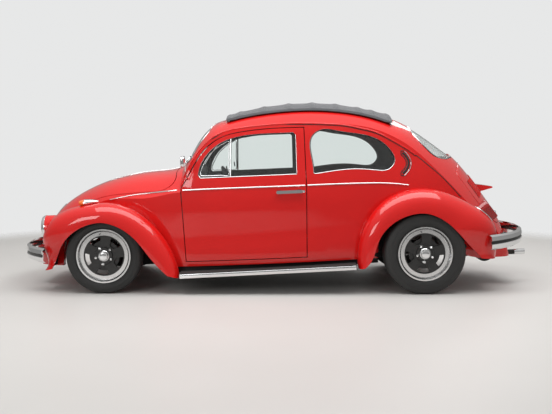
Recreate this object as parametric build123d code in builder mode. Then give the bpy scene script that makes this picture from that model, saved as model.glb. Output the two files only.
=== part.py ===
from build123d import *
import os
from math import asin, atan, atan2, cos, degrees, pi, radians, sin

# Rear-engine compact car: a two-door saloon with separate fenders, running boards
# and a folding fabric roof.  Millimetres.  The nose faces -Y, the left side is +X.
# Everything is drawn level, midway between the axles, and set on its tyres at the end.

# ---------------------------------------------------------------- driving sizes
wheelbase = 2400
front_track = 1290
rear_track = 1330
front_tyre_radius = 284
rear_tyre_radius = 305
front_tyre_width = 155
rear_tyre_width = 185
rim_radius = 204            # over the bead flange
front_hub_height = 394      # above the body's own datum
rear_hub_height = 308

gutter_x = 575              # roof edge, from the centre line
crown_power = 3.2           # how late the roof and hood fall away towards their edges
tail_power = 2.1            # the same at the tail, which is rounder
waist_x = 663               # half width of the cabin at the waist
sill_z = 275                # underside of the body sides
skin = 14                   # hood, lid, roof and tail panels with their frames
wall = 58                   # door and side wall thickness
panel_gap = 6               # all round each door and lid
glass = 5
glass_sections = 9
fender_skin = 5
fit = 0.3                   # between pieces that seat on each other

front_y = -wheelbase / 2
rear_y = wheelbase / 2
cowl_y = front_y + 588      # foot of the windscreen
header_y = front_y + 919    # top of the windscreen
door_front_y = front_y + 594
door_rear_y = rear_y - 862

# ---------------------------------------------------------------- body surfaces
# Each station: y, height on the centre line, height at the gutter, power of the fall if not the usual.
hood_line = [
    (front_y - 596, 150, -900),
    (front_y - 586, 400, -640),
    (front_y - 560, 540, -460),
    (front_y - 510, 640, -300),
    (front_y - 440, 723, -150),
    (front_y - 345, 797, 110),
    (front_y - 200, 874, 430),
    (front_y - 50, 929, 640),
    (front_y + 120, 968, 735),
    (front_y + 320, 991, 795),
    (front_y + 480, 1001, 845),
    (cowl_y, 1026, 868),
]
screen_line = [
    (cowl_y, 1026, 868),
    (cowl_y + 75, 1150, 1028),
    (cowl_y + 165, 1278, 1150),
    (cowl_y + 245, 1344, 1228),
    (header_y, 1376, 1270),
]
roof_line = [
    (header_y, 1376, 1270),
    (front_y + 1100, 1422, 1303),
    (front_y + 1350, 1455, 1318),
    (rear_y - 870, 1462, 1318),
    (rear_y - 600, 1443, 1297),
    (rear_y - 300, 1378, 1220),
    (rear_y - 80, 1304, 1082, 2.8),
    (rear_y + 130, 1172, 860, 2.4),
    (rear_y + 352, 1004, 534, tail_power),
    (rear_y + 500, 822, 266, tail_power),
    (rear_y + 630, 636, 0, tail_power),
    (rear_y + 720, 466, -250, tail_power),
    (rear_y + 752, 300, -450, tail_power),
    (rear_y + 760, 100, -700, tail_power),
]
# Plan of the sides: distance from the centre line, y.
side_line = [
    (215, front_y - 600),
    (335, front_y - 475),
    (405, front_y - 300),
    (452, front_y - 100),
    (520, front_y + 150),
    (574, front_y + 350),
    (616, cowl_y),
    (waist_x - 14, front_y + 950),
    (waist_x, front_y + 1300),
    (waist_x - 4, rear_y - 870),
    (waist_x - 24, rear_y - 550),
    (waist_x - 64, rear_y - 250),
    (waist_x - 118, rear_y + 50),
    (waist_x - 180, rear_y + 300),
    (waist_x - 240, rear_y + 500),
    (waist_x - 323, rear_y + 650),
    (waist_x - 363, rear_y + 735),
    (200, rear_y + 800),
]
nose_y = front_y - 660
tail_y = rear_y + 830
# How far the side leans in at each height.
lean = [(-100, 40), (200, 22), (450, 6), (700, 0), (860, 6), (980, 24), (1150, 52), (1330, 90), (1540, 145)]
virtual_floor = -2600       # the roof loft runs down past everything


def fall(station, x):
    """Height of a station at a distance from the centre line."""
    y, centre, edge, *power = station
    return centre - (centre - edge) * (abs(x) / gutter_x) ** (power[0] if power else crown_power)


def spacing(points):
    """Share of the way along a run of points at which each one lies."""
    reach = [0.0]
    for (a0, b0), (a1, b1) in zip(points, points[1:]):
        reach.append(reach[-1] + ((a1 - a0) ** 2 + (b1 - b0) ** 2) ** 0.5)
    return [r / reach[-1] for r in reach]


def even_spline(points, shares, tangents=None):
    """A spline whose points lie at given shares of its parameter, so that it lofts evenly."""
    return Edge.make_spline([Vector(*p) for p in points], tangents, parameters=shares)


def inward(points, inset):
    """The same run of points moved inset towards its lower side."""
    moved = []
    for i, (y, z) in enumerate(points):
        y0, z0 = points[max(i - 1, 0)]
        y1, z1 = points[min(i + 1, len(points) - 1)]
        length = ((y1 - y0) ** 2 + (z1 - z0) ** 2) ** 0.5
        moved.append((y + (z1 - z0) / length * inset, z - (y1 - y0) / length * inset))
    return moved


def section_points(line, x):
    return [(station[0], fall(station, x)) for station in line]


def top_form(inset):
    """Hood, windscreen and roof as one closed form, from side to side."""
    hood_spacing = spacing(section_points(hood_line, gutter_x / 2))
    screen_spacing = spacing(section_points(screen_line, gutter_x / 2))
    roof_spacing = spacing(section_points(roof_line, gutter_x / 2))
    with BuildPart() as form:
        for x in (-690, -575, -470, -340, -190, 0, 190, 340, 470, 575, 690):
            hood = section_points(hood_line, x)
            screen = section_points(screen_line, x)
            roof = section_points(roof_line, x)
            run = inward(hood + screen[1:] + roof[1:], inset)
            hood = run[:len(hood)]
            screen = run[len(hood) - 1:len(hood) + len(screen) - 1]
            roof = run[len(hood) + len(screen) - 2:]
            with BuildSketch(Plane.YZ.offset(x)):
                with BuildLine():
                    Line((hood[0][0], virtual_floor), hood[0])
                    add(even_spline(hood, hood_spacing))
                    add(even_spline(screen, screen_spacing))
                    add(even_spline(roof, roof_spacing))
                    Line(roof[-1], (roof[-1][0], virtual_floor))
                    Line((roof[-1][0], virtual_floor), (hood[0][0], virtual_floor))
                make_face()
        loft(clean=False)
    return form.part


def side_form(inset):
    """The cabin and tail sides as one closed form, from sill to roof."""
    side_spacing = spacing([(0, nose_y)] + side_line + [(0, tail_y)])
    ends = [Vector(1, 0), Vector(-1, 0)]
    nose = (0, nose_y + inset)
    tail = (0, tail_y - inset)
    with BuildPart() as form:
        for height, lean_in in lean:
            share = 1 - lean_in / waist_x
            outer = [(x * share, y) for x, y in [(0, nose_y)] + side_line + [(0, tail_y)]]
            side = inward(outer, -inset)[1:-1]
            with BuildSketch(Plane.XY.offset(height)):
                with BuildLine():
                    add(even_spline([nose, *side, tail], side_spacing, ends))
                    Line(tail, nose)
                make_face()
        loft(clean=False)
        mirror(about=Plane.YZ)
    return form.part


def glass_layer(line, depth, near, far):
    """A sheet of glass following one run of stations, from one side station to another."""
    shares = spacing(section_points(line, gutter_x / 2))
    with BuildPart() as layer:
        for i in range(glass_sections):
            x = near + (far - near) * i / (glass_sections - 1)
            outer = inward(section_points(line, x), depth)
            inner = inward(section_points(line, x), depth + glass)
            with BuildSketch(Plane.YZ.offset(x)):
                with BuildLine():
                    add(even_spline(outer, shares))
                    Line(outer[-1], inner[-1])
                    add(even_spline(inner[::-1], [1 - share for share in shares[::-1]]))
                    Line(inner[0], outer[0])
                make_face()
        loft(clean=False)
    return layer.part


def side_prism(outline, near=300, far=900):
    """A side-view outline carried outwards through the left side."""
    with BuildPart() as prism:
        with BuildSketch(Plane.YZ.offset(near)):
            with BuildLine():
                outline()
            make_face()
        extrude(amount=far - near)
    return prism.part


def both_sides(part):
    """The part and its mirror image as one."""
    return part + mirror(part, about=Plane.YZ)


# ---------------------------------------------------------------- outlines in side view
door_edge_foot = 40         # the door's upright front edge, above the sills
door_edge_top = 590
door_edge_lean = 14


def door_outline(grow=0):
    """The door edge, grown by a gap where the opening is meant."""
    front = door_front_y - grow
    rear = door_rear_y + grow
    foot = sill_z + door_edge_foot - grow
    pillar = [
        (front, sill_z + door_edge_top),
        (front_y + 645 - grow, sill_z + 665 + grow),
        (front_y + 715 - grow, sill_z + 780 + grow),
        (front_y + 800 - grow, sill_z + 885 + grow),
        (front_y + 900, sill_z + 955 + grow),
        (front_y + 1100, sill_z + 1000 + grow),
        (front_y + 1350, sill_z + 1013 + grow),
        (rear, sill_z + 1010 + grow),
    ]
    Polyline((rear, pillar[-1][1]), (rear, sill_z + 560), (rear - 18, foot), (front + door_edge_lean, foot), pillar[0])
    Spline(*pillar)


def door_window_outline(grow=0):
    """The door's glass opening, with its upright front corner cut back by the pillar."""
    low = sill_z + 662
    foot = low - grow
    points = [
        (front_y + 727 - grow, low + 25),
        (front_y + 755 - grow, low + 115 + grow),
        (front_y + 820 - grow, low + 200 + grow),
        (front_y + 900, low + 258 + grow),
        (front_y + 1060, low + 306 + grow),
        (front_y + 1300, low + 318 + grow),
        (door_rear_y - 80, low + 318 + grow),
    ]
    Spline(*points)
    rear = door_rear_y - 60 + grow
    Line(points[-1], (rear, low + 296))
    Polyline((rear, low + 296), (rear - 4, foot), (front_y + 745, foot), points[0])


def quarter_window_outline(grow=0):
    """The fixed rear side glass, drawn out to a soft point at the back."""
    low = sill_z + 664
    foot = low - grow
    front = door_rear_y + 50 - grow
    Spline(
        (front + 8, foot + 6),
        (front, low + 110),
        (front + 14, low + 288 + grow),
        (front + 70, low + 324 + grow),
        (rear_y - 590, low + 310 + grow),
        (rear_y - 330, low + 250 + grow),
        (rear_y - 200 + grow, low + 140),
        (rear_y - 178 + grow, low + 60),
        (rear_y - 225, foot + 4),
        (rear_y - 330, foot),
        (front + 60, foot - 2),
        periodic=True,
    )


# ---------------------------------------------------------------- outlines in front and rear view
lid_head = 946
lid_foot = 470


def windscreen_outline(grow=0):
    """Half of the windscreen opening as seen from ahead, closed on the centre line."""
    foot = 1058 - grow
    head = 1344 + grow
    Polyline((0, head), (0, foot), (250, foot - 6))
    Spline((250, foot - 6), (440, foot - 14), (498 + grow, foot + 22), (486 + grow, foot + 90),
           (452 + grow, foot + 190), (420, head - 62), (300, head - 22), (0, head),
           tangents=[(1, -0.03), (-1, 0)])


def rear_window_outline(grow=0):
    """Half of the rear window opening as seen from behind."""
    foot = 996 - grow
    head = 1262 + grow
    Polyline((0, head), (0, foot))
    Spline((0, foot), (200, foot - 2), (340, foot), (396 + grow, foot + 34), (398 + grow, foot + 92),
           (356 + grow, head - 82), (250, head - 26), (0, head), tangents=[(1, 0), (-1, 0)])


def engine_lid_outline(grow=0):
    """Half of the engine lid as seen from behind."""
    head = lid_head + grow
    foot = lid_foot - grow
    FilletPolyline((0, foot), (296 + grow, foot), (352 + grow, foot + 190), (340 + grow, head - 70),
                   (216 + grow / 2, head - 20), (96, head), (0, head), radius=[64, 400, 70, 400, 400])
    Line((0, head), (0, foot))


def hood_outline(grow=0):
    """Half of the hood in plan."""
    rear = cowl_y - 48 + grow
    nose = nose_y - 40
    Polyline((0, rear), (0, nose), (212 + grow, nose), (212 + grow, front_y - 560))
    Spline((212 + grow, front_y - 560), (286 + grow, front_y - 440), (352 + grow, front_y - 250),
           (430 + grow, front_y - 40), (484 + grow, front_y + 160), (524 + grow, front_y + 350),
           (538 + grow, rear - 66), (500 + grow, rear - 16), (400, rear - 2), (0, rear),
           tangents=[(0.3, 1), (-1, 0)])


def plan_prism(outline, low, high):
    with BuildPart() as prism:
        with BuildSketch(Plane.XY.offset(low)):
            with BuildLine():
                outline()
            make_face()
            mirror(about=Plane.YZ)
        extrude(amount=high - low)
    return prism.part


def fore_aft_prism(outline, start_y, end_y):
    """A front-view outline carried from one station back to another."""
    with BuildPart() as prism:
        with BuildSketch(Plane.XZ.offset(-start_y)):
            with BuildLine():
                outline()
            make_face()
            mirror(about=Plane.YZ)
        extrude(amount=-(end_y - start_y))
    return prism.part


# ---------------------------------------------------------------- fenders
# Each section of a fender: angle about the wheel centre (0 = to the rear, 90 = up),
# crest radius, crest x, root x, root dip, lip radius, lip x.
front_sections = [
    (-19, 588, 668, 585, 30, 500, 762),
    (-3, 522, 660, 575, 26, 352, 770),
    (15, 462, 652, 560, 24, 296, 772),
    (36, 420, 645, 545, 22, 266, 772),
    (62, 399, 638, 520, 24, 252, 772),
    (90, 395, 630, 470, 36, 256, 772),
    (114, 414, 612, 430, 62, 262, 770),
    (133, 462, 585, 390, 92, 276, 766),
    (150, 500, 565, 350, 104, 296, 756),
    (168, 490, 552, 330, 70, 330, 698),
    (192, 488, 546, 320, 40, 412, 670),
]
rear_sections = [
    (190, 500, 668, 585, 16, 452, 764),
    (176, 494, 664, 580, 16, 376, 770),
    (155, 490, 656, 570, 20, 358, 772),
    (132, 494, 645, 550, 24, 338, 772),
    (110, 494, 630, 520, 28, 322, 772),
    (88, 490, 620, 490, 30, 312, 772),
    (66, 490, 606, 460, 24, 296, 772),
    (46, 514, 570, 425, 12, 290, 770),
    (27, 576, 530, 385, 10, 300, 764),
    (9, 600, 505, 350, 10, 345, 716),
    (-7, 578, 490, 330, 10, 440, 680),
]


def fender_profile(crest_r, crest_x, root_x, root_dip, lip_r, lip_x):
    """Outer line of one fender section from its root on the body to its lip."""
    points = [(root_x, crest_r - root_dip), ((root_x + crest_x) / 2, crest_r - root_dip * 0.35)]
    steps = 5
    for i in range(steps + 1):
        turn = radians(90 * i / steps)
        across = crest_x + (lip_x - crest_x) * sin(turn) ** 0.85
        down = lip_r + (crest_r - lip_r) * cos(turn) ** 0.8
        points.append((across, down))
    return points


def fender_form(centre_y, centre_z, sections, inset=0):
    """A fender as a thin pressed shell."""
    reference = spacing(fender_profile(*sections[4][1:]))
    with BuildPart() as form:
        for angle, *shape in sections:
            along = (0, cos(radians(angle)), sin(radians(angle)))
            across = (0, -along[2], along[1])
            outer = fender_profile(*shape)
            inner = inward(outer, fender_skin)
            with BuildSketch(Plane((0, centre_y, centre_z), (1, 0, 0), across)):
                with BuildLine():
                    add(even_spline(outer, reference))
                    Line(outer[-1], inner[-1])
                    add(even_spline(inner[::-1], [1 - r for r in reference[::-1]]))
                    Line(inner[0], outer[0])
                make_face()
        loft(clean=False)
    return form.part


# ---------------------------------------------------------------- body shell
below_nose = sill_z + 17
beside_axle = sill_z + 225      # body sides stop here over the axles
tail_foot = sill_z - 75
panel = 12                      # inner sheet-metal panels
roof_lining = 26

with BuildPart() as body_side_view:
    with BuildSketch(Plane.YZ.offset(-900)):
        with BuildLine():
            Polyline(
                (nose_y - 100, 1700), (nose_y - 100, below_nose), (front_y - 385, below_nose),
                (front_y - 365, beside_axle), (front_y + 325, beside_axle), (front_y + 400, sill_z),
                (rear_y - 230, sill_z), (rear_y - 205, beside_axle), (rear_y + 205, beside_axle),
                (rear_y + 240, sill_z), (rear_y + 520, tail_foot), (tail_y + 100, tail_foot),
                (tail_y + 100, 1700), close=True,
            )
        make_face()
    extrude(amount=1800)

top_block = top_form(0)
body_block = top_block & side_form(0)
hollow = top_form(roof_lining) & side_form(wall)

bulkhead_y = cowl_y - 30
luggage_floor_z = beside_axle + 4
seat_floor_z = 430
with BuildPart() as inner_panels:
    with BuildSketch(Plane.YZ.offset(-900)):
        with Locations((bulkhead_y, (sill_z + 1100) / 2)):
            Rectangle(panel, 1100 - sill_z)
        with Locations(((nose_y + bulkhead_y) / 2, luggage_floor_z)):
            Rectangle(bulkhead_y - nose_y, panel)
        with BuildLine():
            rear_floor = Polyline(
                (rear_y - 580, sill_z - 30), (rear_y - 580, seat_floor_z), (rear_y - 240, seat_floor_z + 40),
                (rear_y - 200, 640), (rear_y + 90, 640), (rear_y + 245, 1000),
            )
            offset(rear_floor, amount=panel / 2, side=Side.BOTH)
        make_face()
    extrude(amount=1800)

well_x = 415
well_radius = 342
rear_well_x = 552


def wheel_well(x, y, z, radius, grow=0):
    with BuildPart() as well:
        for side in (1, -1):
            with BuildSketch(Plane.YZ.offset(side * (x - grow))):
                with Locations((y, z)):
                    Circle(radius + grow)
            extrude(amount=side * 500)
    return well.part


front_wells = wheel_well(well_x, front_y, front_hub_height, well_radius)
front_well_walls = wheel_well(well_x, front_y, front_hub_height, well_radius, panel)
rear_wells = wheel_well(rear_well_x, rear_y, rear_hub_height, rear_tyre_radius + 32)

tailpipe_x = 218
tailpipe_z = 220
tailpipe_r = 20
with BuildPart() as pipe_notches:
    for side in (1, -1):
        with BuildSketch(Plane.XZ.offset(-(rear_y + 500))):
            with Locations((side * tailpipe_x, tailpipe_z - 10)):
                Rectangle(2 * tailpipe_r + 16, 2 * tailpipe_r + 96)
        extrude(amount=-400)

pan_z = sill_z - 45
tunnel_half = 90
tunnel_height = 150
tunnel_front_y = front_y + 396
tunnel_rear_y = rear_y - 344


def tunnel(grow=0):
    """The pan's centre tunnel."""
    half = tunnel_half + grow
    top = pan_z + tunnel_height + grow
    with BuildPart() as form:
        with BuildSketch(Plane.XZ.offset(-tunnel_front_y)):
            with BuildLine():
                Line((-half, pan_z), (half, pan_z))
                Spline((half, pan_z), (half - 28, top - 40), (0, top), (28 - half, top - 40), (-half, pan_z))
            make_face()
        extrude(amount=-(tunnel_rear_y - tunnel_front_y))
    return form.part


vent_width = 34
with BuildPart() as quarter_vents:
    with BuildSketch(Plane.YZ.offset(400)):
        SlotArc(ThreePointArc((rear_y - 116, sill_z + 788), (rear_y - 73, sill_z + 706), (rear_y - 123, sill_z + 629)),
                vent_width)
    extrude(amount=400)
    mirror(about=Plane.YZ)

hood_foot = 520
hood_prism = plan_prism(lambda: hood_outline(0), hood_foot, 1400)
hood_cut = plan_prism(lambda: hood_outline(panel_gap), hood_foot - panel_gap, 1400)
lid_prism = fore_aft_prism(lambda: engine_lid_outline(0), rear_y + 150, tail_y + 60)
lid_cut = fore_aft_prism(lambda: engine_lid_outline(panel_gap), rear_y + 150, tail_y + 60)
screen_cut = fore_aft_prism(lambda: windscreen_outline(0), cowl_y - 200, header_y + 130)
rear_window_cut = fore_aft_prism(lambda: rear_window_outline(0), rear_y - 100, rear_y + 330)
door_cut = both_sides(side_prism(lambda: door_outline(panel_gap)))
quarter_cut = both_sides(side_prism(lambda: quarter_window_outline(0)))

cells = hollow - [inner_panels.part, front_well_walls]
openings = [front_wells, rear_wells, pipe_notches.part, tunnel(fit), hood_cut, lid_cut, screen_cut, rear_window_cut,
            door_cut, quarter_cut, quarter_vents.part]
body_shell = ((body_block - cells) & body_side_view.part) - openings

top_hollow = top_form(skin)
hood = (top_block & hood_prism) - top_hollow
engine_lid = (top_block & lid_prism) - top_hollow
door_left = (body_block & side_prism(lambda: door_outline(0))) - [hollow, side_prism(lambda: door_window_outline(0))]

glass_depth = 7
side_glass_depth = 15
glass_gap = 0.6             # all round each pane
screen_pane = fore_aft_prism(lambda: windscreen_outline(-glass_gap), cowl_y - 200, header_y + 130)
windscreen = glass_layer(screen_line, glass_depth, -540, 540) & screen_pane
rear_pane = fore_aft_prism(lambda: rear_window_outline(-glass_gap), rear_y - 100, rear_y + 330)
rear_window = glass_layer(roof_line[5:9], glass_depth, -450, 450) & rear_pane
side_outer = side_form(side_glass_depth)
side_inner = side_form(side_glass_depth + glass)
quarter_left = (side_outer & side_prism(lambda: quarter_window_outline(-glass_gap))) - side_inner
door_glass_left = (side_outer & side_prism(lambda: door_window_outline(-glass_gap))) - side_inner


def mirrored(part):
    return mirror(part, about=Plane.YZ)


front_fender = fender_form(front_y, front_hub_height, front_sections)
rear_fender = fender_form(rear_y - 4, rear_hub_height - 8, rear_sections)
lamp_x = 555
lamp_y = front_y - 446
lamp_z = 610
lamp_r = 92
with BuildPart() as lamp_bucket:
    with BuildSketch(Plane.XZ.offset(-(lamp_y + 150))):
        with Locations((lamp_x, lamp_z)):
            Circle(lamp_r + 4)
            Circle(lamp_r - 2, mode=Mode.SUBTRACT)
    extrude(amount=150)
body_with_gap = top_form(-fit) & side_form(-fit)
front_fender = front_fender - body_with_gap
with BuildPart() as lamp_hole:
    with BuildSketch(Plane.XZ.offset(-(lamp_y + 130))):
        with Locations((lamp_x, lamp_z)):
            Circle(lamp_r - 2)
    extrude(amount=300)
    with BuildSketch(Plane.XZ.offset(-lamp_y)):
        with Locations((lamp_x, lamp_z)):
            Circle(lamp_r + 6 + fit)
    extrude(amount=200)
front_fender_left = (front_fender - lamp_hole.part) + (lamp_bucket.part - body_with_gap)
rear_fender_left = rear_fender - body_with_gap

# ---------------------------------------------------------------- wheels
def wheel_parts(hub_x, hub_y, hub_z, tyre_radius, tyre_width):
    """Tyre and five-spoke wheel of the left side, in place."""
    half = tyre_width / 2
    rim_half = half - 12
    with BuildPart() as tyre:
        with BuildSketch(Plane.XY.offset(0)):
            with BuildLine():
                Polyline((-rim_half, rim_radius - 6), (-rim_half, rim_radius + 1))
                Spline((-rim_half, rim_radius + 1), (-half, (rim_radius + tyre_radius) / 2 - 6),
                       (-half + 14, tyre_radius - 8), (-half + 32, tyre_radius))
                Line((-half + 32, tyre_radius), (half - 32, tyre_radius))
                Spline((half - 32, tyre_radius), (half - 14, tyre_radius - 8),
                       (half, (rim_radius + tyre_radius) / 2 - 6), (rim_half, rim_radius + 1))
                Polyline((rim_half, rim_radius + 1), (rim_half, rim_radius - 6), (rim_half - 12, rim_radius - 14),
                         (-rim_half + 12, rim_radius - 14), (-rim_half, rim_radius - 6))
            make_face()
        revolve(axis=Axis.X)
    with BuildPart() as rim:
        with BuildSketch(Plane.XY):
            with BuildLine():
                Polyline(
                    (-rim_half, rim_radius - 6.3), (-rim_half + 12, rim_radius - 14.3),
                    (rim_half - 12, rim_radius - 14.3), (rim_half, rim_radius - 6.3), (rim_half, rim_radius - 1),
                    (rim_half + 5, rim_radius - 1), (rim_half + 5, rim_radius - 12), (rim_half - 9, rim_radius - 22),
                    (rim_half - 42, rim_radius - 24), (-rim_half + 6, rim_radius - 22),
                    (-rim_half - 4, rim_radius - 12), (-rim_half - 4, rim_radius - 1), (-rim_half, rim_radius - 1),
                    close=True,
                )
            make_face()
        revolve(axis=Axis.X)
        with BuildSketch(Plane.YZ.offset(rim_half - 40)):
            Circle(rim_radius - 23)
        extrude(amount=16)
        with BuildSketch() as window:
            with BuildLine():
                Line((88, -22), (136, -50))
                ThreePointArc((136, -50), (145, 0), (136, 50))
                Line((136, 50), (88, 22))
                ThreePointArc((88, 22), (82, 0), (88, -22))
            make_face()
            fillet(window.vertices(), 8)
        with BuildSketch(Plane.YZ.offset(rim_half - 60)):
            with PolarLocations(0, 5, -26):
                add(window.sketch)
        extrude(amount=60, mode=Mode.SUBTRACT)
        with BuildSketch(Plane.YZ.offset(rim_half - 26)):
            Circle(66)
        extrude(amount=16, taper=14)
        with BuildSketch(Plane.YZ.offset(rim_half - 12)):
            Circle(34)
        extrude(amount=26, taper=6)
        with BuildSketch(Plane.YZ.offset(rim_half - 86)):
            Circle(114)
            Circle(17, mode=Mode.SUBTRACT)
        extrude(amount=46)
    place = Location((hub_x, hub_y, hub_z))
    return place * tyre.part, place * rim.part


front_hub_x = front_track / 2
rear_hub_x = rear_track / 2
front_tyre, front_rim = wheel_parts(front_hub_x, front_y, front_hub_height, front_tyre_radius, front_tyre_width)
rear_tyre, rear_rim = wheel_parts(rear_hub_x, rear_y, rear_hub_height, rear_tyre_radius, rear_tyre_width)

# ---------------------------------------------------------------- front axle and knuckles
kingpin_x = front_hub_x - 50
joint_half = 44
with BuildPart() as knuckle:
    with BuildSketch(Plane.XY.offset(front_hub_height - joint_half)):
        with Locations((kingpin_x, front_y)):
            Circle(20)
    extrude(amount=2 * joint_half)
    drum_face = front_hub_x + front_tyre_width / 2 - 12 - 86
    with BuildSketch(Plane.YZ.offset(kingpin_x)):
        with Locations((front_y, front_hub_height)):
            Circle(16)
    extrude(amount=drum_face + 30 - kingpin_x)
    with BuildSketch(Plane.YZ.offset(drum_face - 7)):
        with Locations((front_y, front_hub_height)):
            Circle(104)
    extrude(amount=7 - fit)

tube_y = front_y - 130
head_y = tube_y + 62        # front face of the pan's frame head
tube_half = 385
with BuildPart() as front_axle:
    for height in (front_hub_height - 58, front_hub_height + 58):
        with BuildSketch(Plane.YZ.offset(-tube_half)):
            with Locations((tube_y, height)):
                Circle(27)
        extrude(amount=2 * tube_half)
    for side in (1, -1):
        with Locations((side * (tube_half - 16), tube_y, front_hub_height)):
            Box(22, 60, 170)
        with Locations((side * 120, (tube_y - 10 + head_y - fit) / 2, front_hub_height)):
            Box(30, head_y - fit - tube_y + 10, 120)
        for level in (1, -1):
            height = front_hub_height + level * (joint_half + fit + 12)
            with BuildSketch(Plane.XY.offset(height - 12)):
                with BuildLine():
                    arm = Polyline((side * (tube_half + 2), tube_y), (side * (tube_half + 36), tube_y),
                                   (side * kingpin_x, front_y))
                    offset(arm, amount=15, side=Side.BOTH)
                make_face()
            extrude(amount=24)

# ---------------------------------------------------------------- floor pan and rear drive
pan_half = 606
with BuildPart() as floor_pan:
    with BuildSketch(Plane.XY.offset(pan_z)) as pan_plan:
        with BuildLine():
            Polyline((0, front_y + 395), (470, front_y + 395), (560, front_y + 440), (pan_half, front_y + 600),
                     (pan_half, rear_y - 560), (pan_half - 60, rear_y - 330), (0, rear_y - 330), (0, front_y + 395))
        make_face()
        mirror(about=Plane.YZ)
    extrude(amount=45 - fit)
    with BuildSketch(Plane.XY.offset(pan_z + 8)):
        with BuildLine():
            Polyline((0, front_y + 403), (462, front_y + 403), (548, front_y + 448), (pan_half - 48, front_y + 600),
                     (pan_half - 48, rear_y - 580), (pan_half - 90, rear_y - 560), (0, rear_y - 560),
                     (0, front_y + 403))
        make_face()
        mirror(about=Plane.YZ)
    extrude(amount=60, mode=Mode.SUBTRACT)
    add(tunnel())
    with BuildSketch(Plane.XY.offset(pan_z)):
        with BuildLine():
            Polyline((0, head_y), (135, head_y), (96, front_y + 120), (96, tunnel_front_y),
                     (0, tunnel_front_y), (0, head_y))
        make_face()
        mirror(about=Plane.YZ)
    extrude(amount=120)
    with BuildSketch(Plane.YZ.offset(-470)):
        with Locations((rear_y - 372, rear_hub_height)):
            Circle(42)
    extrude(amount=940)

with BuildPart() as transaxle:
    with BuildSketch(Plane.XZ.offset(-(rear_y - 325))):
        with Locations((0, rear_hub_height + 10)):
            RectangleRounded(170, 190, 50)
    extrude(amount=-260)
    with BuildSketch(Plane.XZ.offset(-(rear_y - 66))):
        with Locations((0, rear_hub_height + 10)):
            Circle(100)
    with BuildSketch(Plane.XZ.offset(-(rear_y + 180))):
        with Locations((0, rear_hub_height + 26)):
            Circle(165)
    loft()
    for side in (1, -1):
        with BuildSketch(Plane.YZ.offset(side * 60)):
            with Locations((rear_y, rear_hub_height)):
                Circle(30)
        extrude(amount=side * 430)
        with BuildSketch(Plane.YZ.offset(side * 488)):
            with Locations((rear_y, rear_hub_height)):
                Circle(52)
        extrude(amount=side * 20)
        with BuildSketch(Plane.YZ.offset(side * 500)):
            with Locations((rear_y, rear_hub_height)):
                Circle(16)
        rear_drum_face = rear_hub_x + rear_tyre_width / 2 - 12 - 86
        extrude(amount=side * (rear_drum_face + 30 - 500))
        with BuildSketch(Plane.YZ.offset(side * (rear_drum_face - 7))):
            with Locations((rear_y, rear_hub_height)):
                Circle(104)
        extrude(amount=side * (7 - fit))
        with BuildSketch(Plane.YZ.offset(side * 470.3)):
            with BuildLine():
                Polyline((rear_y - 400, rear_hub_height - 32), (rear_y - 400, rear_hub_height + 32),
                         (rear_y, rear_hub_height + 24), (rear_y, rear_hub_height - 24), close=True)
            make_face()
        extrude(amount=side * 8)

engine_depth = 270
with BuildPart() as engine:
    with Locations((0, rear_y + 180 + fit + engine_depth / 2, rear_hub_height + 130)):
        Box(440, engine_depth, 330)
    fillet(engine.edges().filter_by(Axis.Z), 30)

muffler_y = rear_y + 560
header_x = 150
header_y = rear_y + 422
header_z = 216
with BuildPart() as exhaust:
    for side in (1, -1):
        with BuildSketch(Plane.XY.offset(header_z - 24)):
            with Locations((side * header_x, header_y)):
                Circle(18)
        extrude(amount=rear_hub_height + 130 - 165 - fit - header_z + 24)
        with BuildSketch(Plane.XZ.offset(-header_y)):
            with Locations((side * header_x, header_z)):
                Circle(13)
        extrude(amount=-(muffler_y - 40 - header_y))
    with BuildSketch(Plane.YZ.offset(-240)):
        with Locations((muffler_y, 205)):
            Ellipse(62, 48)
    extrude(amount=480)
    for side in (1, -1):
        with BuildSketch(Plane.XZ.offset(-(muffler_y))):
            with Locations((side * tailpipe_x, tailpipe_z)):
                Circle(tailpipe_r)
                Circle(tailpipe_r - 2, mode=Mode.SUBTRACT)
        extrude(amount=-(rear_y + 883 - muffler_y))

# ---------------------------------------------------------------- bumpers
blade_radius = 1000         # the middle of each blade
blade_turn = 25.5
blade_depth = 26
blade_sheet = 5
bracket_x = 300
front_bumper_y = front_y - 738
front_bumper_z = 412
rear_bumper_y = rear_y + 892
rear_bumper_z = 366


def bumper(face_y, height, facing, body_face_y, end_radius, end_turn):
    """A pressed blade bent round its middle and its tighter ends, with two brackets; facing is -1 at the nose."""
    with BuildPart() as blade:
        with BuildLine(Plane.XY.offset(height)) as path:
            middle = JernArc((0, face_y), (1, 0), blade_radius, -facing * blade_turn)
            JernArc(middle @ 1, middle % 1, end_radius, -facing * end_turn)
        with BuildSketch(Plane.YZ):
            with BuildLine():
                Polyline(
                    (face_y - facing * blade_depth, height - 56), (face_y - facing * 4, height - 44),
                    (face_y, height - 14), (face_y - facing * 5, height - 10), (face_y - facing * 5, height + 10),
                    (face_y, height + 14), (face_y - facing * 4, height + 44),
                    (face_y - facing * blade_depth, height + 56), (face_y - facing * blade_depth, height + 52),
                    (face_y - facing * (blade_sheet + 5), height + 40),
                    (face_y - facing * (blade_sheet + 5), height - 40),
                    (face_y - facing * blade_depth, height - 52), close=True,
                )
            make_face()
        sweep(path=path.line)
        mirror(about=Plane.YZ)
    with BuildPart() as brackets:
        for side in (1, -1):
            swept = blade_radius - (blade_radius ** 2 - bracket_x ** 2) ** 0.5
            reach_y = face_y - facing * (swept + 7)
            with Locations((side * bracket_x, (reach_y + body_face_y) / 2, height)):
                Box(8, abs(reach_y - body_face_y), 44)
    return blade.part + brackets.part


front_bumper = bumper(front_bumper_y, front_bumper_z, -1, front_y - 500, 1080, 16.4) - body_with_gap
rear_bumper = bumper(rear_bumper_y, rear_bumper_z, 1, rear_y + 600, 650, 37.5) - body_with_gap

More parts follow.
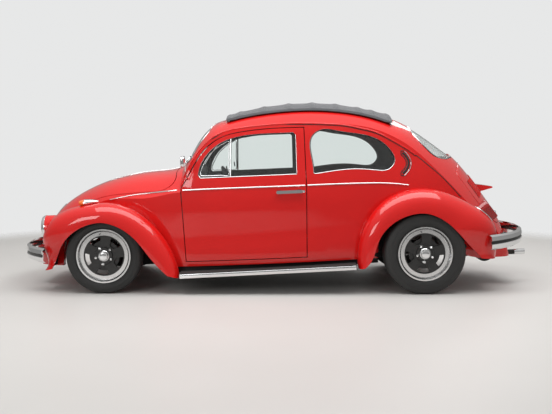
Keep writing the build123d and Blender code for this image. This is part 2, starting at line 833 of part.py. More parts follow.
# ---------------------------------------------------------------- running boards
with BuildPart() as running_board:
    with BuildSketch(Plane.YZ.offset(pan_half + fit)):
        with BuildLine():
            Polyline((front_y + 562, 208), (rear_y - 512, 216), (rear_y - 512, 250), (front_y + 562, 240), close=True)
        make_face()
    extrude(amount=770 - pan_half - fit)


# ---------------------------------------------------------------- lamps
def turned(profile, x, y, z):
    """A piece turned about a fore-and-aft axis; the profile gives radius against y."""
    with BuildPart() as piece:
        with BuildSketch(Plane.XY):
            with BuildLine():
                profile()
            make_face()
        revolve(axis=Axis.Y)
    return Location((x, y, z)) * piece.part


def lamp_rim_profile():
    Polyline((lamp_r - 14, 0), (lamp_r - 14, -22))
    Spline((lamp_r - 14, -22), (lamp_r - 8, -26), (lamp_r + 3, -14), (lamp_r + 6, 0))
    Line((lamp_r + 6, 0), (lamp_r - 14, 0))


def lamp_lens_profile():
    edge = lamp_r - 14.3
    Polyline((0, -6), (0, -40))
    Spline((0, -40), (edge * 0.6, -33), (edge, -16), tangents=[(1, 0), (0.4, 1)])
    Polyline((edge, -16), (edge, -6), (0, -6))


headlamp_rim = turned(lamp_rim_profile, lamp_x, lamp_y - fit, lamp_z)
headlamp_lens = turned(lamp_lens_profile, lamp_x, lamp_y - fit, lamp_z)


def fender_block(centre_y, centre_z, sections, depth=70):
    """The fender's outer surface with a thick inside, for seating lamps on it."""
    reference = spacing(fender_profile(*sections[4][1:]))
    with BuildPart() as form:
        for angle, *shape in sections:
            along = (0, cos(radians(angle)), sin(radians(angle)))
            across = (0, -along[2], along[1])
            outer_line = inward(fender_profile(*shape), -fit)
            deep = (outer_line[0][0], outer_line[-1][1] - depth)
            with BuildSketch(Plane((0, centre_y, centre_z), (1, 0, 0), across)):
                with BuildLine():
                    add(even_spline(outer_line, reference))
                    Polyline(outer_line[-1], (outer_line[-1][0], deep[1]), deep, outer_line[0])
                make_face()
        loft(clean=False)
    return form.part


turn_lamp_x = 628
with BuildPart() as turn_lamp:
    for station, width, height, lift in ((-172, 60, 34, 0), (-150, 74, 46, 0), (-90, 66, 42, 4), (-30, 22, 14, 6)):
        with BuildSketch(Plane.XZ.offset(-(front_y + station))):
            with Locations((turn_lamp_x, 794 + lift)):
                Ellipse(width / 2, height / 2)
    loft()
turn_lamp = turn_lamp.part - fender_block(front_y, front_hub_height, front_sections)

tail_lamp_x = 515
tail_lamp_plane = Plane((tail_lamp_x, rear_y + 524, 590), (1, 0, 0), (0, 0.81, 0.59))
with BuildPart() as tail_lamp:
    with BuildSketch(tail_lamp_plane.offset(-70)):
        with BuildLine():
            Polyline((-52, -18), (-46, 74), (46, 74), (52, -18))
            ThreePointArc((52, -18), (0, -80), (-52, -18))
        make_face()
    extrude(amount=104)
    fillet(tail_lamp.faces().sort_by(Axis((0, 0, 0), tail_lamp_plane.z_dir))[-1].edges(), 12)
tail_lamp = tail_lamp.part - [fender_block(rear_y - 4, rear_hub_height - 8, rear_sections, 90), body_with_gap]

with BuildPart() as plate_lamp:
    with BuildSketch(Plane.YZ.offset(-74)):
        with BuildLine():
            Polyline((rear_y + 470, 775), (rear_y + 584, 761), (rear_y + 676, 744))
            Spline((rear_y + 676, 744), (rear_y + 680, 736), (rear_y + 670, 730))
            Polyline((rear_y + 670, 730), (rear_y + 596, 712), (rear_y + 470, 700), (rear_y + 470, 775))
        make_face()
    extrude(amount=148)
plate_lamp = plate_lamp.part - body_with_gap

# ---------------------------------------------------------------- door furniture
handle_z = 811
with BuildPart() as door_handle:
    for at in (door_rear_y - 205, door_rear_y - 52):
        with BuildSketch(Plane.YZ.offset(640)):
            with Locations((at, handle_z)):
                RectangleRounded(24, 20, 6)
        extrude(amount=34)
    with BuildSketch(Plane.YZ.offset(674)):
        with Locations((door_rear_y - 126, handle_z)):
            RectangleRounded(200, 24, 11)
    extrude(amount=16)
door_handle = door_handle.part - body_with_gap

mirror_y = door_front_y + 52
with BuildPart() as door_mirror:
    with BuildLine(Plane.XZ.offset(-mirror_y)) as arm:
        FilletPolyline((600, 935), (655, 948), (708, 1004), (742, 1062), radius=30)
    with BuildSketch(Plane(arm.line @ 0, z_dir=arm.line % 0)):
        Circle(6)
    sweep(path=arm.line)
    with BuildSketch(Plane.XZ.offset(-(mirror_y - 26))):
        with Locations((748, 1072)):
            RectangleRounded(116, 84, 30)
    extrude(amount=-26)
    fillet(door_mirror.faces().sort_by(Axis.Y)[0].edges(), 12)
door_mirror = door_mirror.part - body_with_gap

# ---------------------------------------------------------------- hinge pins in the panel gaps
pin_r = panel_gap / 2 - 0.1
door_pin_r = 2.15           # the gap there leans, so these are thinner
door_pin_x = 616
hood_pin_r = 2.5
hood_pin_shift = 0.45       # its gap is a little wider at the hood
hood_pin_y = cowl_y - 48 + panel_gap / 2
hood_pin_z = 1008.5
lid_pin_y = rear_y + 396.5
lid_pin_z = lid_head + panel_gap / 2
with BuildPart() as hinge_pins:
    for side in (1, -1):
        for height in (690, 800):
            lean_back = door_edge_lean * (sill_z + door_edge_top - height) / (door_edge_top - door_edge_foot)
            with BuildSketch(Plane.XY.offset(height - 30)):
                with Locations((side * door_pin_x, door_front_y + lean_back - panel_gap / 2)):
                    Circle(door_pin_r)
            extrude(amount=60)
        with BuildSketch(Plane.YZ.offset(side * 150 - 30)):
            with Locations((hood_pin_y - hood_pin_shift, hood_pin_z)):
                Circle(hood_pin_r)
        extrude(amount=60)
        with BuildSketch(Plane.YZ.offset(side * 60 - 20)):
            with Locations((lid_pin_y, lid_pin_z)):
                Circle(pin_r)
        extrude(amount=40)

# ---------------------------------------------------------------- folding roof, closed
roof_cover_half = 432
with BuildPart() as cover_plan:
    with BuildSketch(Plane.XY.offset(1200)):
        with Locations((0, (front_y + 945 + rear_y - 160) / 2)):
            RectangleRounded(2 * roof_cover_half, rear_y - 160 - front_y - 945, 40)
    extrude(amount=400)
roof_cover = (top_form(-30) & cover_plan.part) - top_form(-fit)

# ---------------------------------------------------------------- cabin
cabin = top_form(roof_lining + fit) & side_form(wall + fit)
with BuildPart() as dash_block:
    with BuildSketch(Plane.YZ.offset(-700)):
        with BuildLine():
            Polyline((bulkhead_y + panel / 2 + fit, 870), (bulkhead_y + panel / 2 + fit, 1000), (front_y + 640, 1012))
            Spline((front_y + 640, 1012), (front_y + 705, 1000), (front_y + 712, 960), (front_y + 700, 850))
            Polyline((front_y + 700, 850), (front_y + 680, 838), (front_y + 640, 870),
                     (bulkhead_y + panel / 2 + fit, 870))
        make_face()
    extrude(amount=1400)
door_room = 18              # the doors swing past the ends of the dashboard
dashboard = dash_block.part & top_form(roof_lining + door_room) & side_form(wall + door_room)

column_tilt = 28
wheel_centre = (330, front_y + 980, 850)
column_axis = Vector(0, cos(radians(column_tilt)), sin(radians(column_tilt)))
column_plane = Plane(wheel_centre, (1, 0, 0), column_axis)
with BuildPart() as steering_column:
    with BuildSketch(column_plane.offset(-36)):
        Circle(26)
    extrude(amount=-150)
    with BuildSketch(column_plane.offset(-186)):
        Circle(20)
    extrude(amount=-400)
    split(bisect_by=Plane.XZ.offset(-(bulkhead_y + panel / 2 + fit)), keep=Keep.BOTTOM)
wheel_r = 175
with BuildPart() as steering_wheel:
    with BuildSketch(Plane(wheel_centre, column_axis, (1, 0, 0))):
        with Locations((0, wheel_r)):
            Circle(12)
    revolve(axis=Axis(wheel_centre, column_axis))
    with BuildSketch(column_plane.offset(-36 + fit)):
        Circle(46)
    extrude(amount=28, taper=18)
    with BuildSketch(column_plane.offset(-26)):
        Rectangle(2 * wheel_r - 10, 34)
    extrude(amount=20)

seat_x = 305
seat_y = front_y + 1010     # front of the front seats
with BuildPart() as front_seats:
    for side in (1, -1):
        with BuildSketch(Plane.XZ.offset(-seat_y)):
            with Locations((side * seat_x, 470)):
                RectangleRounded(480, 130, 40)
        extrude(amount=-500)
        with BuildSketch(Plane.YZ.offset(side * seat_x - 235)):
            with BuildLine():
                Polyline((seat_y + 480, 470), (seat_y + 600, 455), (seat_y + 712, 930), (seat_y + 636, 946),
                         close=True)
            make_face()
        extrude(amount=470)
        with BuildSketch(Plane.XY.offset(pan_z + 8 + fit)):
            with Locations((side * seat_x, seat_y + 250)):
                Rectangle(380, 400)
        extrude(amount=180)

with BuildPart() as rear_seat_block:
    with BuildSketch(Plane.YZ.offset(-700)):
        with BuildLine():
            Polyline((rear_y - 600, seat_floor_z + 20), (rear_y - 590, 590), (rear_y - 300, 570), (rear_y - 180, 900),
                     (rear_y - 60, 900), (rear_y - 150, 660), (rear_y - 220, 655), (rear_y - 262, 480),
                     (rear_y - 560, seat_floor_z + 20), close=True)
        make_face()
    extrude(amount=1400)
rear_seat = rear_seat_block.part & cabin

# ---------------------------------------------------------------- stance on the tyres
ride_angle = degrees(atan((front_hub_height - rear_hub_height) / wheelbase))
tyre_angle = degrees(asin((rear_tyre_radius - front_tyre_radius) / wheelbase))
rake = ride_angle + tyre_angle
hub_from_datum = Vector(0, rear_y, rear_hub_height).rotate(Axis.X, rake)
front_reach = Vector(0, front_bumper_y, front_bumper_z).rotate(Axis.X, rake).Y
rear_reach = Vector(0, rear_bumper_y, rear_bumper_z).rotate(Axis.X, rake).Y
stance = Location((0, -(front_reach + rear_reach) / 2, rear_tyre_radius - hub_from_datum.Z)) * Location(
    (0, 0, 0), (rake, 0, 0))

pieces = {
    "body_shell": body_shell, "hood": hood, "engine_lid": engine_lid,
    "door_left": door_left, "door_right": mirrored(door_left),
    "windscreen": windscreen, "rear_window": rear_window, "quarter_windows": both_sides(quarter_left),
    "door_glass_left": door_glass_left, "door_glass_right": mirrored(door_glass_left),
    "door_trim_left": door_handle + door_mirror, "door_trim_right": mirrored(door_handle + door_mirror),
    "front_fenders": both_sides(front_fender_left), "rear_fenders": both_sides(rear_fender_left),
    "running_boards": both_sides(running_board.part),
    "front_bumper": front_bumper, "rear_bumper": rear_bumper,
    "headlamp_rims": both_sides(headlamp_rim), "headlamp_lenses": both_sides(headlamp_lens),
    "turn_lamps": both_sides(turn_lamp), "tail_lamps": both_sides(tail_lamp), "plate_lamp": plate_lamp,
    "roof_cover": roof_cover, "dashboard": dashboard, "steering_column": steering_column.part,
    "steering_wheel": steering_wheel.part, "front_seats": front_seats.part, "rear_seat": rear_seat,
    "tyre_front_left": front_tyre, "rim_front_left": front_rim,
    "tyre_rear_left": rear_tyre, "rim_rear_left": rear_rim,
    "tyre_front_right": mirrored(front_tyre), "rim_front_right": mirrored(front_rim),
    "tyre_rear_right": mirrored(rear_tyre), "rim_rear_right": mirrored(rear_rim),
    "knuckle_left": knuckle.part, "knuckle_right": mirrored(knuckle.part),
    "hinge_pins": hinge_pins.part, "front_axle": front_axle.part, "floor_pan": floor_pan.part, "transaxle": transaxle.part,
    "engine": engine.part, "exhaust": exhaust.part,
}

os.makedirs("parts", exist_ok=True)
for name, piece in pieces.items():
    placed = stance * piece
    placed.label = name
    export_step(placed, f"parts/{name}.step")
    box = placed.bounding_box()
    print(name, len(placed.solids()), round(placed.volume / 1e6, 2), placed.is_valid,
          [round(v) for v in (*box.min, *box.max)])
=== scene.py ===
"""A red rear-engine compact saloon with a folding fabric roof, dressed for its portrait.

The frame gives every rigid panel. This script adds the soft roof, the upholstery, the
trims, seals, tyre treads and small fittings, and gives each surface its finish.
"""
import functools
import math

import bmesh
import bpy
from mathutils import Matrix, Vector
from mathutils.bvhtree import BVHTree


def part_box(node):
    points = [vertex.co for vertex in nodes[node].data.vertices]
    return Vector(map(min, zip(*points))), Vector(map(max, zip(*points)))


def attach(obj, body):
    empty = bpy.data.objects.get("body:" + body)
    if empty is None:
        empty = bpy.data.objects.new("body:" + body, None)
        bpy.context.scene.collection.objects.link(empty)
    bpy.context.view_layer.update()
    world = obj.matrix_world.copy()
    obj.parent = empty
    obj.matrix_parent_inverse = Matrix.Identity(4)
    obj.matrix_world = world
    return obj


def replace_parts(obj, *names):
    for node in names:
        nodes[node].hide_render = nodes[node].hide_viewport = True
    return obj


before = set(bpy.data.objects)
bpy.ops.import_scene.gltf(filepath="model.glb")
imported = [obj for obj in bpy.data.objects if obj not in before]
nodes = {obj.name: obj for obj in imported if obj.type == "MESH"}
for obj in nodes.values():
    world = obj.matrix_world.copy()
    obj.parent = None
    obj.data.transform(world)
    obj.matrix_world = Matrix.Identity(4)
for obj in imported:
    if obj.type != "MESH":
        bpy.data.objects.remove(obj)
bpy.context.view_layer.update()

# ------------------------------------------------------------------ the drawing and its stance
RAKE_COS, RAKE_SIN = 0.999007, 0.044553     # nose down on its tyres
RAKE = math.asin(RAKE_SIN)
SET_BACK, SET_DOWN = 59.592, 56.16
LEFT, RIGHT = 1, -1
FRONT_AXLE, REAR_AXLE = -1200, 1200         # along the drawing, in millimetres
FRONT_HUB_HEIGHT, REAR_HUB_HEIGHT = 394, 308
FRONT_HUB_X, REAR_HUB_X = 0.645, 0.665      # wheels, in metres
FRONT_TYRE, REAR_TYRE = 0.284, 0.305
FRONT_WIDTH, REAR_WIDTH = 0.155, 0.185


def at(x, y, z):
    """A point of the level drawing, in millimetres, as metres on the standing car."""
    return Vector((x, y * RAKE_COS - z * RAKE_SIN - SET_BACK, y * RAKE_SIN + z * RAKE_COS - SET_DOWN)) / 1000


def along(x, y, z):
    """A direction of the level drawing on the standing car."""
    return Vector((x, y * RAKE_COS - z * RAKE_SIN, y * RAKE_SIN + z * RAKE_COS))


FRONT_HUB = at(0, FRONT_AXLE, FRONT_HUB_HEIGHT)
REAR_HUB = at(0, REAR_AXLE, REAR_HUB_HEIGHT)

LOOK_FROM = 1.2             # rays at the car's sides start this far out, in metres
FRONT_STRIP = at(0, -1938, 412)     # middle of each bumper's dark strip
REAR_STRIP = at(0, 2092, 366)
STRIP_HALF = 0.0105
TURN_LENS_BACK = -1.430     # behind this the turn lamps are housing
TAIL_LAMP = (515, 1724, 590)        # where each tail lamp's outline is drawn
TAIL_LAMP_AXIS = (0, 0.81, 0.59)    # and the way it faces
HEADLAMP = (555, -1646, 610)
TAILPIPE = (218, 2082, 220)
PIPE_R = 0.020
COLUMN_RISE = math.radians(28)      # the steering column's slope


# ------------------------------------------------------------------ shader expressions
class Value:
    """One output of a finish, which can be used in an expression."""

    def __init__(self, finish, socket):
        self.finish = finish
        self.socket = socket

    def _math(self, operation, first, second=0.0):
        return self.finish.add("ShaderNodeMath", {"operation": operation}, {0: first, 1: second})

    def __add__(self, other):
        return self._math("ADD", self, other)

    def __radd__(self, other):
        return self._math("ADD", other, self)

    def __sub__(self, other):
        return self._math("SUBTRACT", self, other)

    def __rsub__(self, other):
        return self._math("SUBTRACT", other, self)

    def __mul__(self, other):
        return self._math("MULTIPLY", self, other)

    def __rmul__(self, other):
        return self._math("MULTIPLY", other, self)

    def __gt__(self, other):
        return self._math("GREATER_THAN", self, other)

    def __lt__(self, other):
        return self._math("LESS_THAN", self, other)

    def absolute(self):
        return self._math("ABSOLUTE", self)

    def wave(self):
        return self._math("SINE", self)

    def root(self):
        return self._math("SQRT", self)

    def between(self, low, high):
        """0 below low, 1 above high, and smooth between them."""
        return self.finish.add("ShaderNodeMapRange", {"interpolation_type": "SMOOTHSTEP"},
                               {"Value": self, "From Min": low, "From Max": high})


class Finish:
    """A material made node by node."""

    def __init__(self, name):
        self.material = bpy.data.materials.new(name)
        self.material.use_nodes = True
        self.tree = self.material.node_tree
        self.tree.nodes.clear()
        self.place = self.add("ShaderNodeTexCoord", {}, {}, "Object")

    def add(self, kind, settings=None, inputs=None, output=0):
        node = self.tree.nodes.new(kind)
        for key, value in (settings or {}).items():
            if key == "stops":
                ramp = node.color_ramp
                while len(ramp.elements) < len(value):
                    ramp.elements.new(0.5)
                for element, (position, colour) in zip(ramp.elements, value):
                    element.position = position
                    element.color = colour
            else:
                setattr(node, key, value)
        for key, value in (inputs or {}).items():
            if isinstance(value, Value):
                self.tree.links.new(value.socket, node.inputs[key])
            else:
                node.inputs[key].default_value = value
        return Value(self, node.outputs[output])

    def axes(self):
        node = self.tree.nodes.new("ShaderNodeSeparateXYZ")
        self.tree.links.new(self.place.socket, node.inputs[0])
        return tuple(Value(self, socket) for socket in node.outputs)

    def noise(self, scale, detail):
        inputs = {"Vector": self.place, "Scale": scale, "Detail": detail, "Roughness": 0.55}
        return self.add("ShaderNodeTexNoise", {}, inputs, "Fac")

    def cells(self, scale):
        inputs = {"Vector": self.place, "Scale": scale}
        return self.add("ShaderNodeTexVoronoi", {"feature": "F1"}, inputs, "Distance")

    def mix(self, factor, first, second):
        """A colour between two colours."""
        node = self.tree.nodes.new("ShaderNodeMix")
        node.data_type = "RGBA"
        for socket, value in ((node.inputs[0], factor), (node.inputs[6], first), (node.inputs[7], second)):
            if isinstance(value, Value):
                self.tree.links.new(value.socket, socket)
            else:
                socket.default_value = value
        return Value(self, node.outputs[2])

    def bump(self, height, distance, strength):
        return self.add("ShaderNodeBump", {}, {"Height": height, "Distance": distance, "Strength": strength},
                        "Normal")

    def hub_radius(self, hub):
        """Distance from a wheel's axle."""
        _, y, z = self.axes()
        dy, dz = y - hub.y, z - hub.z
        return (dy * dy + dz * dz).root()

    def surface(self, **sockets):
        names = {key: key.replace("_", " ") for key in sockets}
        shader = self.add("ShaderNodeBsdfPrincipled", {}, {names[k]: v for k, v in sockets.items()})
        self.add_output(shader)
        return self.material

    def add_output(self, shader):
        node = self.tree.nodes.new("ShaderNodeOutputMaterial")
        self.tree.links.new(shader.socket, node.inputs["Surface"])


def grey(level, warmth=0.0):
    return (level * (1 + warmth), level, level * (1 - warmth), 1)


def car_paint():
    paint = Finish("red enamel")
    drift = paint.noise(2.2, 2)
    base = paint.mix(drift, (0.60, 0.0035, 0.0040, 1), (0.66, 0.0070, 0.0045, 1))
    peel = paint.noise(260, 2)
    return paint.surface(Base_Color=base, Roughness=0.42 + 0.06 * paint.noise(14, 3), IOR=1.45,
                         Normal=paint.bump(peel, 0.00012, 0.4), Specular_IOR_Level=0.15,
                         Coat_Weight=1.0, Coat_Roughness=0.03, Coat_IOR=1.5)


def chrome_plate():
    plate = Finish("chrome plate")
    smear = plate.noise(18, 4)
    return plate.surface(Base_Color=plate.mix(smear, grey(0.74), grey(0.84, -0.01)), Metallic=1.0,
                         Roughness=0.05 + 0.08 * smear * smear)


def satin_black(name, level=0.012, roughness=0.42, scale=500):
    paint = Finish(name)
    fine = paint.noise(scale, 3)
    wide = paint.noise(5, 3)
    return paint.surface(Base_Color=paint.mix(wide, grey(level), grey(level * 2.4, 0.03)),
                         Roughness=roughness + 0.14 * wide, Normal=paint.bump(fine, 0.0002, 0.5))


def wheel_metal(name, hub):
    """Polished lip, satin black centre and a bright hub cap."""
    alloy = Finish(name)
    radius = alloy.hub_radius(hub)
    lip = radius > 0.1535
    cap = radius < 0.0362
    bright = lip + cap
    turned = (radius * 2400).wave()
    dust = alloy.noise(30, 4)
    base = alloy.mix(bright, alloy.mix(dust, grey(0.010), grey(0.026, 0.04)),
                     alloy.mix(dust, grey(0.62), grey(0.76)))
    return alloy.surface(Base_Color=base, Metallic=bright, Roughness=0.36 - 0.20 * bright + 0.10 * dust,
                         Normal=alloy.bump(turned * bright, 0.00002, 0.25))


def tyre_rubber(name, hub):
    rubber = Finish(name)
    radius = rubber.hub_radius(hub)
    fine = rubber.noise(900, 2)
    wide = rubber.noise(9, 4)
    dust = rubber.noise(3, 3) * radius.between(0.20, 0.29)
    rings = (radius * 1500).wave()
    base = rubber.mix(wide, grey(0.011), grey(0.020, 0.02))
    base = rubber.mix(dust * 0.5, base, grey(0.045, 0.05))
    return rubber.surface(Base_Color=base, Roughness=0.62 + 0.16 * wide,
                          Normal=rubber.bump(fine + rings * 0.5, 0.0003, 0.6))


def window_glass():
    glass = Finish("window glass")
    haze = glass.noise(7, 4)
    return glass.surface(Base_Color=glass.mix(haze, (0.93, 0.98, 0.965, 1), (0.96, 0.99, 0.98, 1)),
                         Roughness=0.015 * haze, IOR=1.45, Transmission_Weight=1.0)


def lens(name, first, second, ribs=700, roughness=0.08, transmission=0.0):
    """A moulded lens with fine vertical ribs."""
    plastic = Finish(name)
    x, _, z = plastic.axes()
    flutes = (x * ribs).wave() + (z * ribs * 0.5).wave() * 0.4
    return plastic.surface(Base_Color=plastic.mix(plastic.noise(40, 2), first, second), Roughness=roughness,
                           Normal=plastic.bump(flutes, 0.0006, 0.5), Coat_Weight=1.0, Coat_Roughness=0.02,
                           Transmission_Weight=transmission, IOR=1.49)


def turn_signal():
    """An amber lens in front of a bright housing."""
    lamp = Finish("amber lens and housing")
    x, y, _ = lamp.axes()
    housing = y.between(TURN_LENS_BACK - 0.0005, TURN_LENS_BACK + 0.0005)
    ribs = (x * 900).wave()
    base = lamp.mix(housing, (0.85, 0.17, 0.012, 1), grey(0.80))
    return lamp.surface(Base_Color=base, Metallic=housing, Coat_Weight=1.0, Coat_Roughness=0.03,
                        Roughness=0.16 - 0.07 * housing + 0.03 * lamp.noise(50, 2),
                        Normal=lamp.bump(ribs * (1 - housing), 0.0004, 0.6))


def canvas():
    """Woven roof cloth."""
    cloth = Finish("roof canvas")
    x, y, _ = cloth.axes()
    warp = (x * 3600).wave()
    weft = (y * 3600).wave()
    weave = warp * weft
    fade = cloth.noise(3.0, 4)
    fleck = cloth.noise(420, 2)
    base = cloth.mix(fade, (0.040, 0.041, 0.046, 1), (0.082, 0.084, 0.092, 1))
    base = cloth.mix(fleck * 0.45, base, (0.13, 0.132, 0.14, 1))
    return cloth.surface(Base_Color=base, Roughness=0.86 + 0.1 * fleck, Sheen_Weight=0.25, Sheen_Roughness=0.5,
                         Normal=cloth.bump(weave + fleck, 0.0005, 0.55))


def hide(name, dark, light, roughness=0.48):
    """Grained vinyl upholstery."""
    vinyl = Finish(name)
    grain = vinyl.cells(420)
    wide = vinyl.noise(6, 3)
    return vinyl.surface(Base_Color=vinyl.mix(wide, dark, light), Roughness=roughness + 0.12 * wide,
                         Normal=vinyl.bump(1 - grain, 0.0004, 0.45))


def felt(name, dark, light):
    """Short-piled lining cloth and carpet."""
    lining = Finish(name)
    fleck = lining.noise(600, 3)
    wide = lining.noise(5, 3)
    return lining.surface(Base_Color=lining.mix(fleck * 0.6 + wide * 0.4, dark, light), Roughness=0.92,
                          Normal=lining.bump(fleck, 0.0008, 0.6), Sheen_Weight=0.2)


def ribbed_rubber():
    mat = Finish("ribbed rubber")
    x, _, _ = mat.axes()
    ribs = (x * 520).wave()
    wide = mat.noise(7, 3)
    return mat.surface(Base_Color=mat.mix(wide, grey(0.012), grey(0.030, 0.04)), Roughness=0.68 + 0.15 * wide,
                       Normal=mat.bump(ribs, 0.0014, 0.8))


def bumper_plate():
    """Chrome blade with a dark strip pressed along its middle."""
    plate = Finish("bumper chrome")
    _, y, z = plate.axes()
    slope = RAKE_SIN / RAKE_COS
    height = z - y * slope

    def strip_at(middle):
        return (height - (middle.z - middle.y * slope)).absolute() < STRIP_HALF

    strip = strip_at(FRONT_STRIP) * (y < 0) + strip_at(REAR_STRIP) * (y > 0)
    smear = plate.noise(18, 4)
    base = plate.mix(strip, plate.mix(smear, grey(0.74), grey(0.84, -0.01)), grey(0.012))
    return plate.surface(Base_Color=base, Metallic=1 - strip,
                         Roughness=0.05 + 0.08 * smear * smear + 0.35 * strip)


def rough_metal(name, dark, light, metallic=1.0, roughness=0.5):
    metal = Finish(name)
    stain = metal.noise(12, 5)
    pits = metal.noise(220, 3)
    return metal.surface(Base_Color=metal.mix(stain, dark, light), Metallic=metallic,
                         Roughness=roughness + 0.25 * stain, Normal=metal.bump(pits, 0.0006, 0.6))


def mirror_silver():
    """Silvered glass, as in mirrors and lamp bowls."""
    silver = Finish("mirror silver")
    haze = silver.noise(9, 3)
    return silver.surface(Base_Color=silver.mix(haze, grey(0.84), grey(0.90)), Metallic=1.0,
                          Roughness=0.02 + 0.03 * haze)


ENAMEL = car_paint()
CHROME = chrome_plate()
MIRROR = mirror_silver()
BLADE = bumper_plate()
GLASS = window_glass()
CANVAS = canvas()
SEAT_VINYL = hide("black seat vinyl", grey(0.012), grey(0.026, 0.03))
DASH_VINYL = hide("dashboard vinyl", grey(0.010), grey(0.018), 0.55)
DOOR_VINYL = hide("door panel vinyl", grey(0.016), grey(0.030, 0.02), 0.5)
LINING = felt("headlining", grey(0.030), grey(0.055, 0.02))
CARPET = felt("charcoal carpet", grey(0.010), grey(0.028, 0.02))
SEAL = satin_black("rubber seal", 0.010, 0.6, 300)
UNDERSEAL = satin_black("underseal", 0.008, 0.8, 160)
CHASSIS_BLACK = satin_black("chassis black", 0.012, 0.5, 200)
SATIN = satin_black("satin black", 0.012, 0.35, 600)
BOARD = ribbed_rubber()
AMBER = turn_signal()
RED_LENS = lens("red lens", (0.22, 0.003, 0.004, 1), (0.34, 0.006, 0.006, 1), 900)
LAMP_GLASS = lens("fluted lamp glass", (0.94, 0.96, 0.97, 1), (0.97, 0.98, 0.99, 1), 420, 0.03, 1.0)
CASTING = rough_metal("sand castings", grey(0.20), grey(0.34, 0.03))
IRON = rough_metal("cast iron", grey(0.045), grey(0.10, 0.10), 0.7, 0.6)
EXHAUST = rough_metal("exhaust black", grey(0.014), grey(0.04, 0.10), 0.4, 0.6)
WHEEL_FRONT = wheel_metal("front wheel alloy", FRONT_HUB)
WHEEL_REAR = wheel_metal("rear wheel alloy", REAR_HUB)
RUBBER_FRONT = tyre_rubber("front tyre rubber", FRONT_HUB)
RUBBER_REAR = tyre_rubber("rear tyre rubber", REAR_HUB)

NODE_FINISH = {
    "body_shell": ENAMEL, "hood": ENAMEL, "engine_lid": ENAMEL, "door_left": ENAMEL, "door_right": ENAMEL,
    "front_fenders": ENAMEL, "rear_fenders": ENAMEL, "plate_lamp": ENAMEL,
    "windscreen": GLASS, "rear_window": GLASS, "quarter_windows": GLASS, "door_glass_left": GLASS,
    "door_glass_right": GLASS, "door_trim_left": CHROME, "door_trim_right": CHROME, "running_boards": BOARD,
    "front_bumper": BLADE, "rear_bumper": BLADE, "headlamp_rims": CHROME, "headlamp_lenses": LAMP_GLASS,
    "turn_lamps": AMBER, "tail_lamps": RED_LENS, "dashboard": DASH_VINYL, "steering_column": CHASSIS_BLACK,
    "steering_wheel": SATIN, "knuckle_left": IRON, "knuckle_right": IRON, "front_axle": CHASSIS_BLACK,
    "floor_pan": UNDERSEAL, "transaxle": CASTING, "engine": CASTING, "exhaust": EXHAUST,
    "hinge_pins": CHASSIS_BLACK, "roof_cover": CANVAS, "front_seats": SEAT_VINYL, "rear_seat": SEAT_VINYL,
}
for end, alloy, rubber in (("front", WHEEL_FRONT, RUBBER_FRONT), ("rear", WHEEL_REAR, RUBBER_REAR)):
    for hand in ("left", "right"):
        NODE_FINISH[f"rim_{end}_{hand}"] = alloy
        NODE_FINISH[f"tyre_{end}_{hand}"] = rubber
for name, node in nodes.items():
    node.data.materials.clear()
    node.data.materials.append(NODE_FINISH[name])


# ------------------------------------------------------------------ the bench
def pick(*pieces):
    """Select some pieces and nothing else, the first of them active."""
    bpy.ops.object.select_all(action="DESELECT")
    for piece in pieces:
        piece.select_set(True)
    bpy.context.view_layer.objects.active = pieces[0]


def fresh(make, **settings):
    """A piece just made by an operator, alone in the selection."""
    bpy.ops.object.select_all(action="DESELECT")
    make(**settings)
    return bpy.context.object


def joined(parts):
    """Many parts as one mesh."""
    pick(*parts)
    bpy.ops.object.join()
    return bpy.context.object


def modify(piece, kind, **settings):
    pick(piece)
    modifier = piece.modifiers.new(kind.lower(), kind)
    for key, value in settings.items():
        setattr(modifier, key, value)
    bpy.ops.object.modifier_apply(modifier=modifier.name)


def settle(piece, name, finish, body="body", angle=32):
    """Name a finished piece, give it its finish and hang it on its body."""
    pick(piece)
    bpy.ops.object.transform_apply(location=True, rotation=True, scale=True)
    bpy.ops.object.shade_smooth_by_angle(angle=math.radians(angle))
    piece.name = piece.data.name = name
    piece.data.materials.clear()
    piece.data.materials.append(finish)
    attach(piece, body)
    return piece


def facing_out(piece, merge=0.00001):
    """Merge doubled points and turn the faces outwards."""
    pick(piece)
    bpy.ops.object.mode_set(mode="EDIT")
    bpy.ops.mesh.select_all(action="SELECT")
    bpy.ops.mesh.remove_doubles(threshold=merge)
    bpy.ops.mesh.normals_make_consistent(inside=False)
    bpy.ops.object.mode_set(mode="OBJECT")


def twin(piece, name, finish, body="body"):
    """The same piece on the right side, with a mesh of its own."""
    pick(piece)
    bpy.ops.object.duplicate()
    other = bpy.context.object
    other.scale = (-1, 1, 1)
    bpy.ops.object.transform_apply(location=True, rotation=True, scale=True)
    facing_out(other)
    return settle(other, name, finish, body)


def pair(piece, name, finish, body="body", angle=32):
    """Settle a left piece and its twin. A body other than the shell comes in a left and a right one too."""
    left, right = (body, body) if body == "body" else (f"{body}_left", f"{body}_right")
    settle(piece, f"{name}_left", finish, left, angle)
    return piece, twin(piece, f"{name}_right", finish, right)


def block(x, y, z, wide, long, tall, rounding, lean=0.0):
    """A block of the drawing with rounded edges, leaning back by some degrees."""
    piece = fresh(bpy.ops.mesh.primitive_cube_add, size=1, location=at(x, y, z),
                  rotation=(RAKE - math.radians(lean), 0, 0))
    piece.scale = (wide / 1000, long / 1000, tall / 1000)
    bpy.ops.object.transform_apply(location=False, rotation=True, scale=True)
    modify(piece, "BEVEL", width=rounding / 1000, segments=3, limit_method="ANGLE")
    return piece


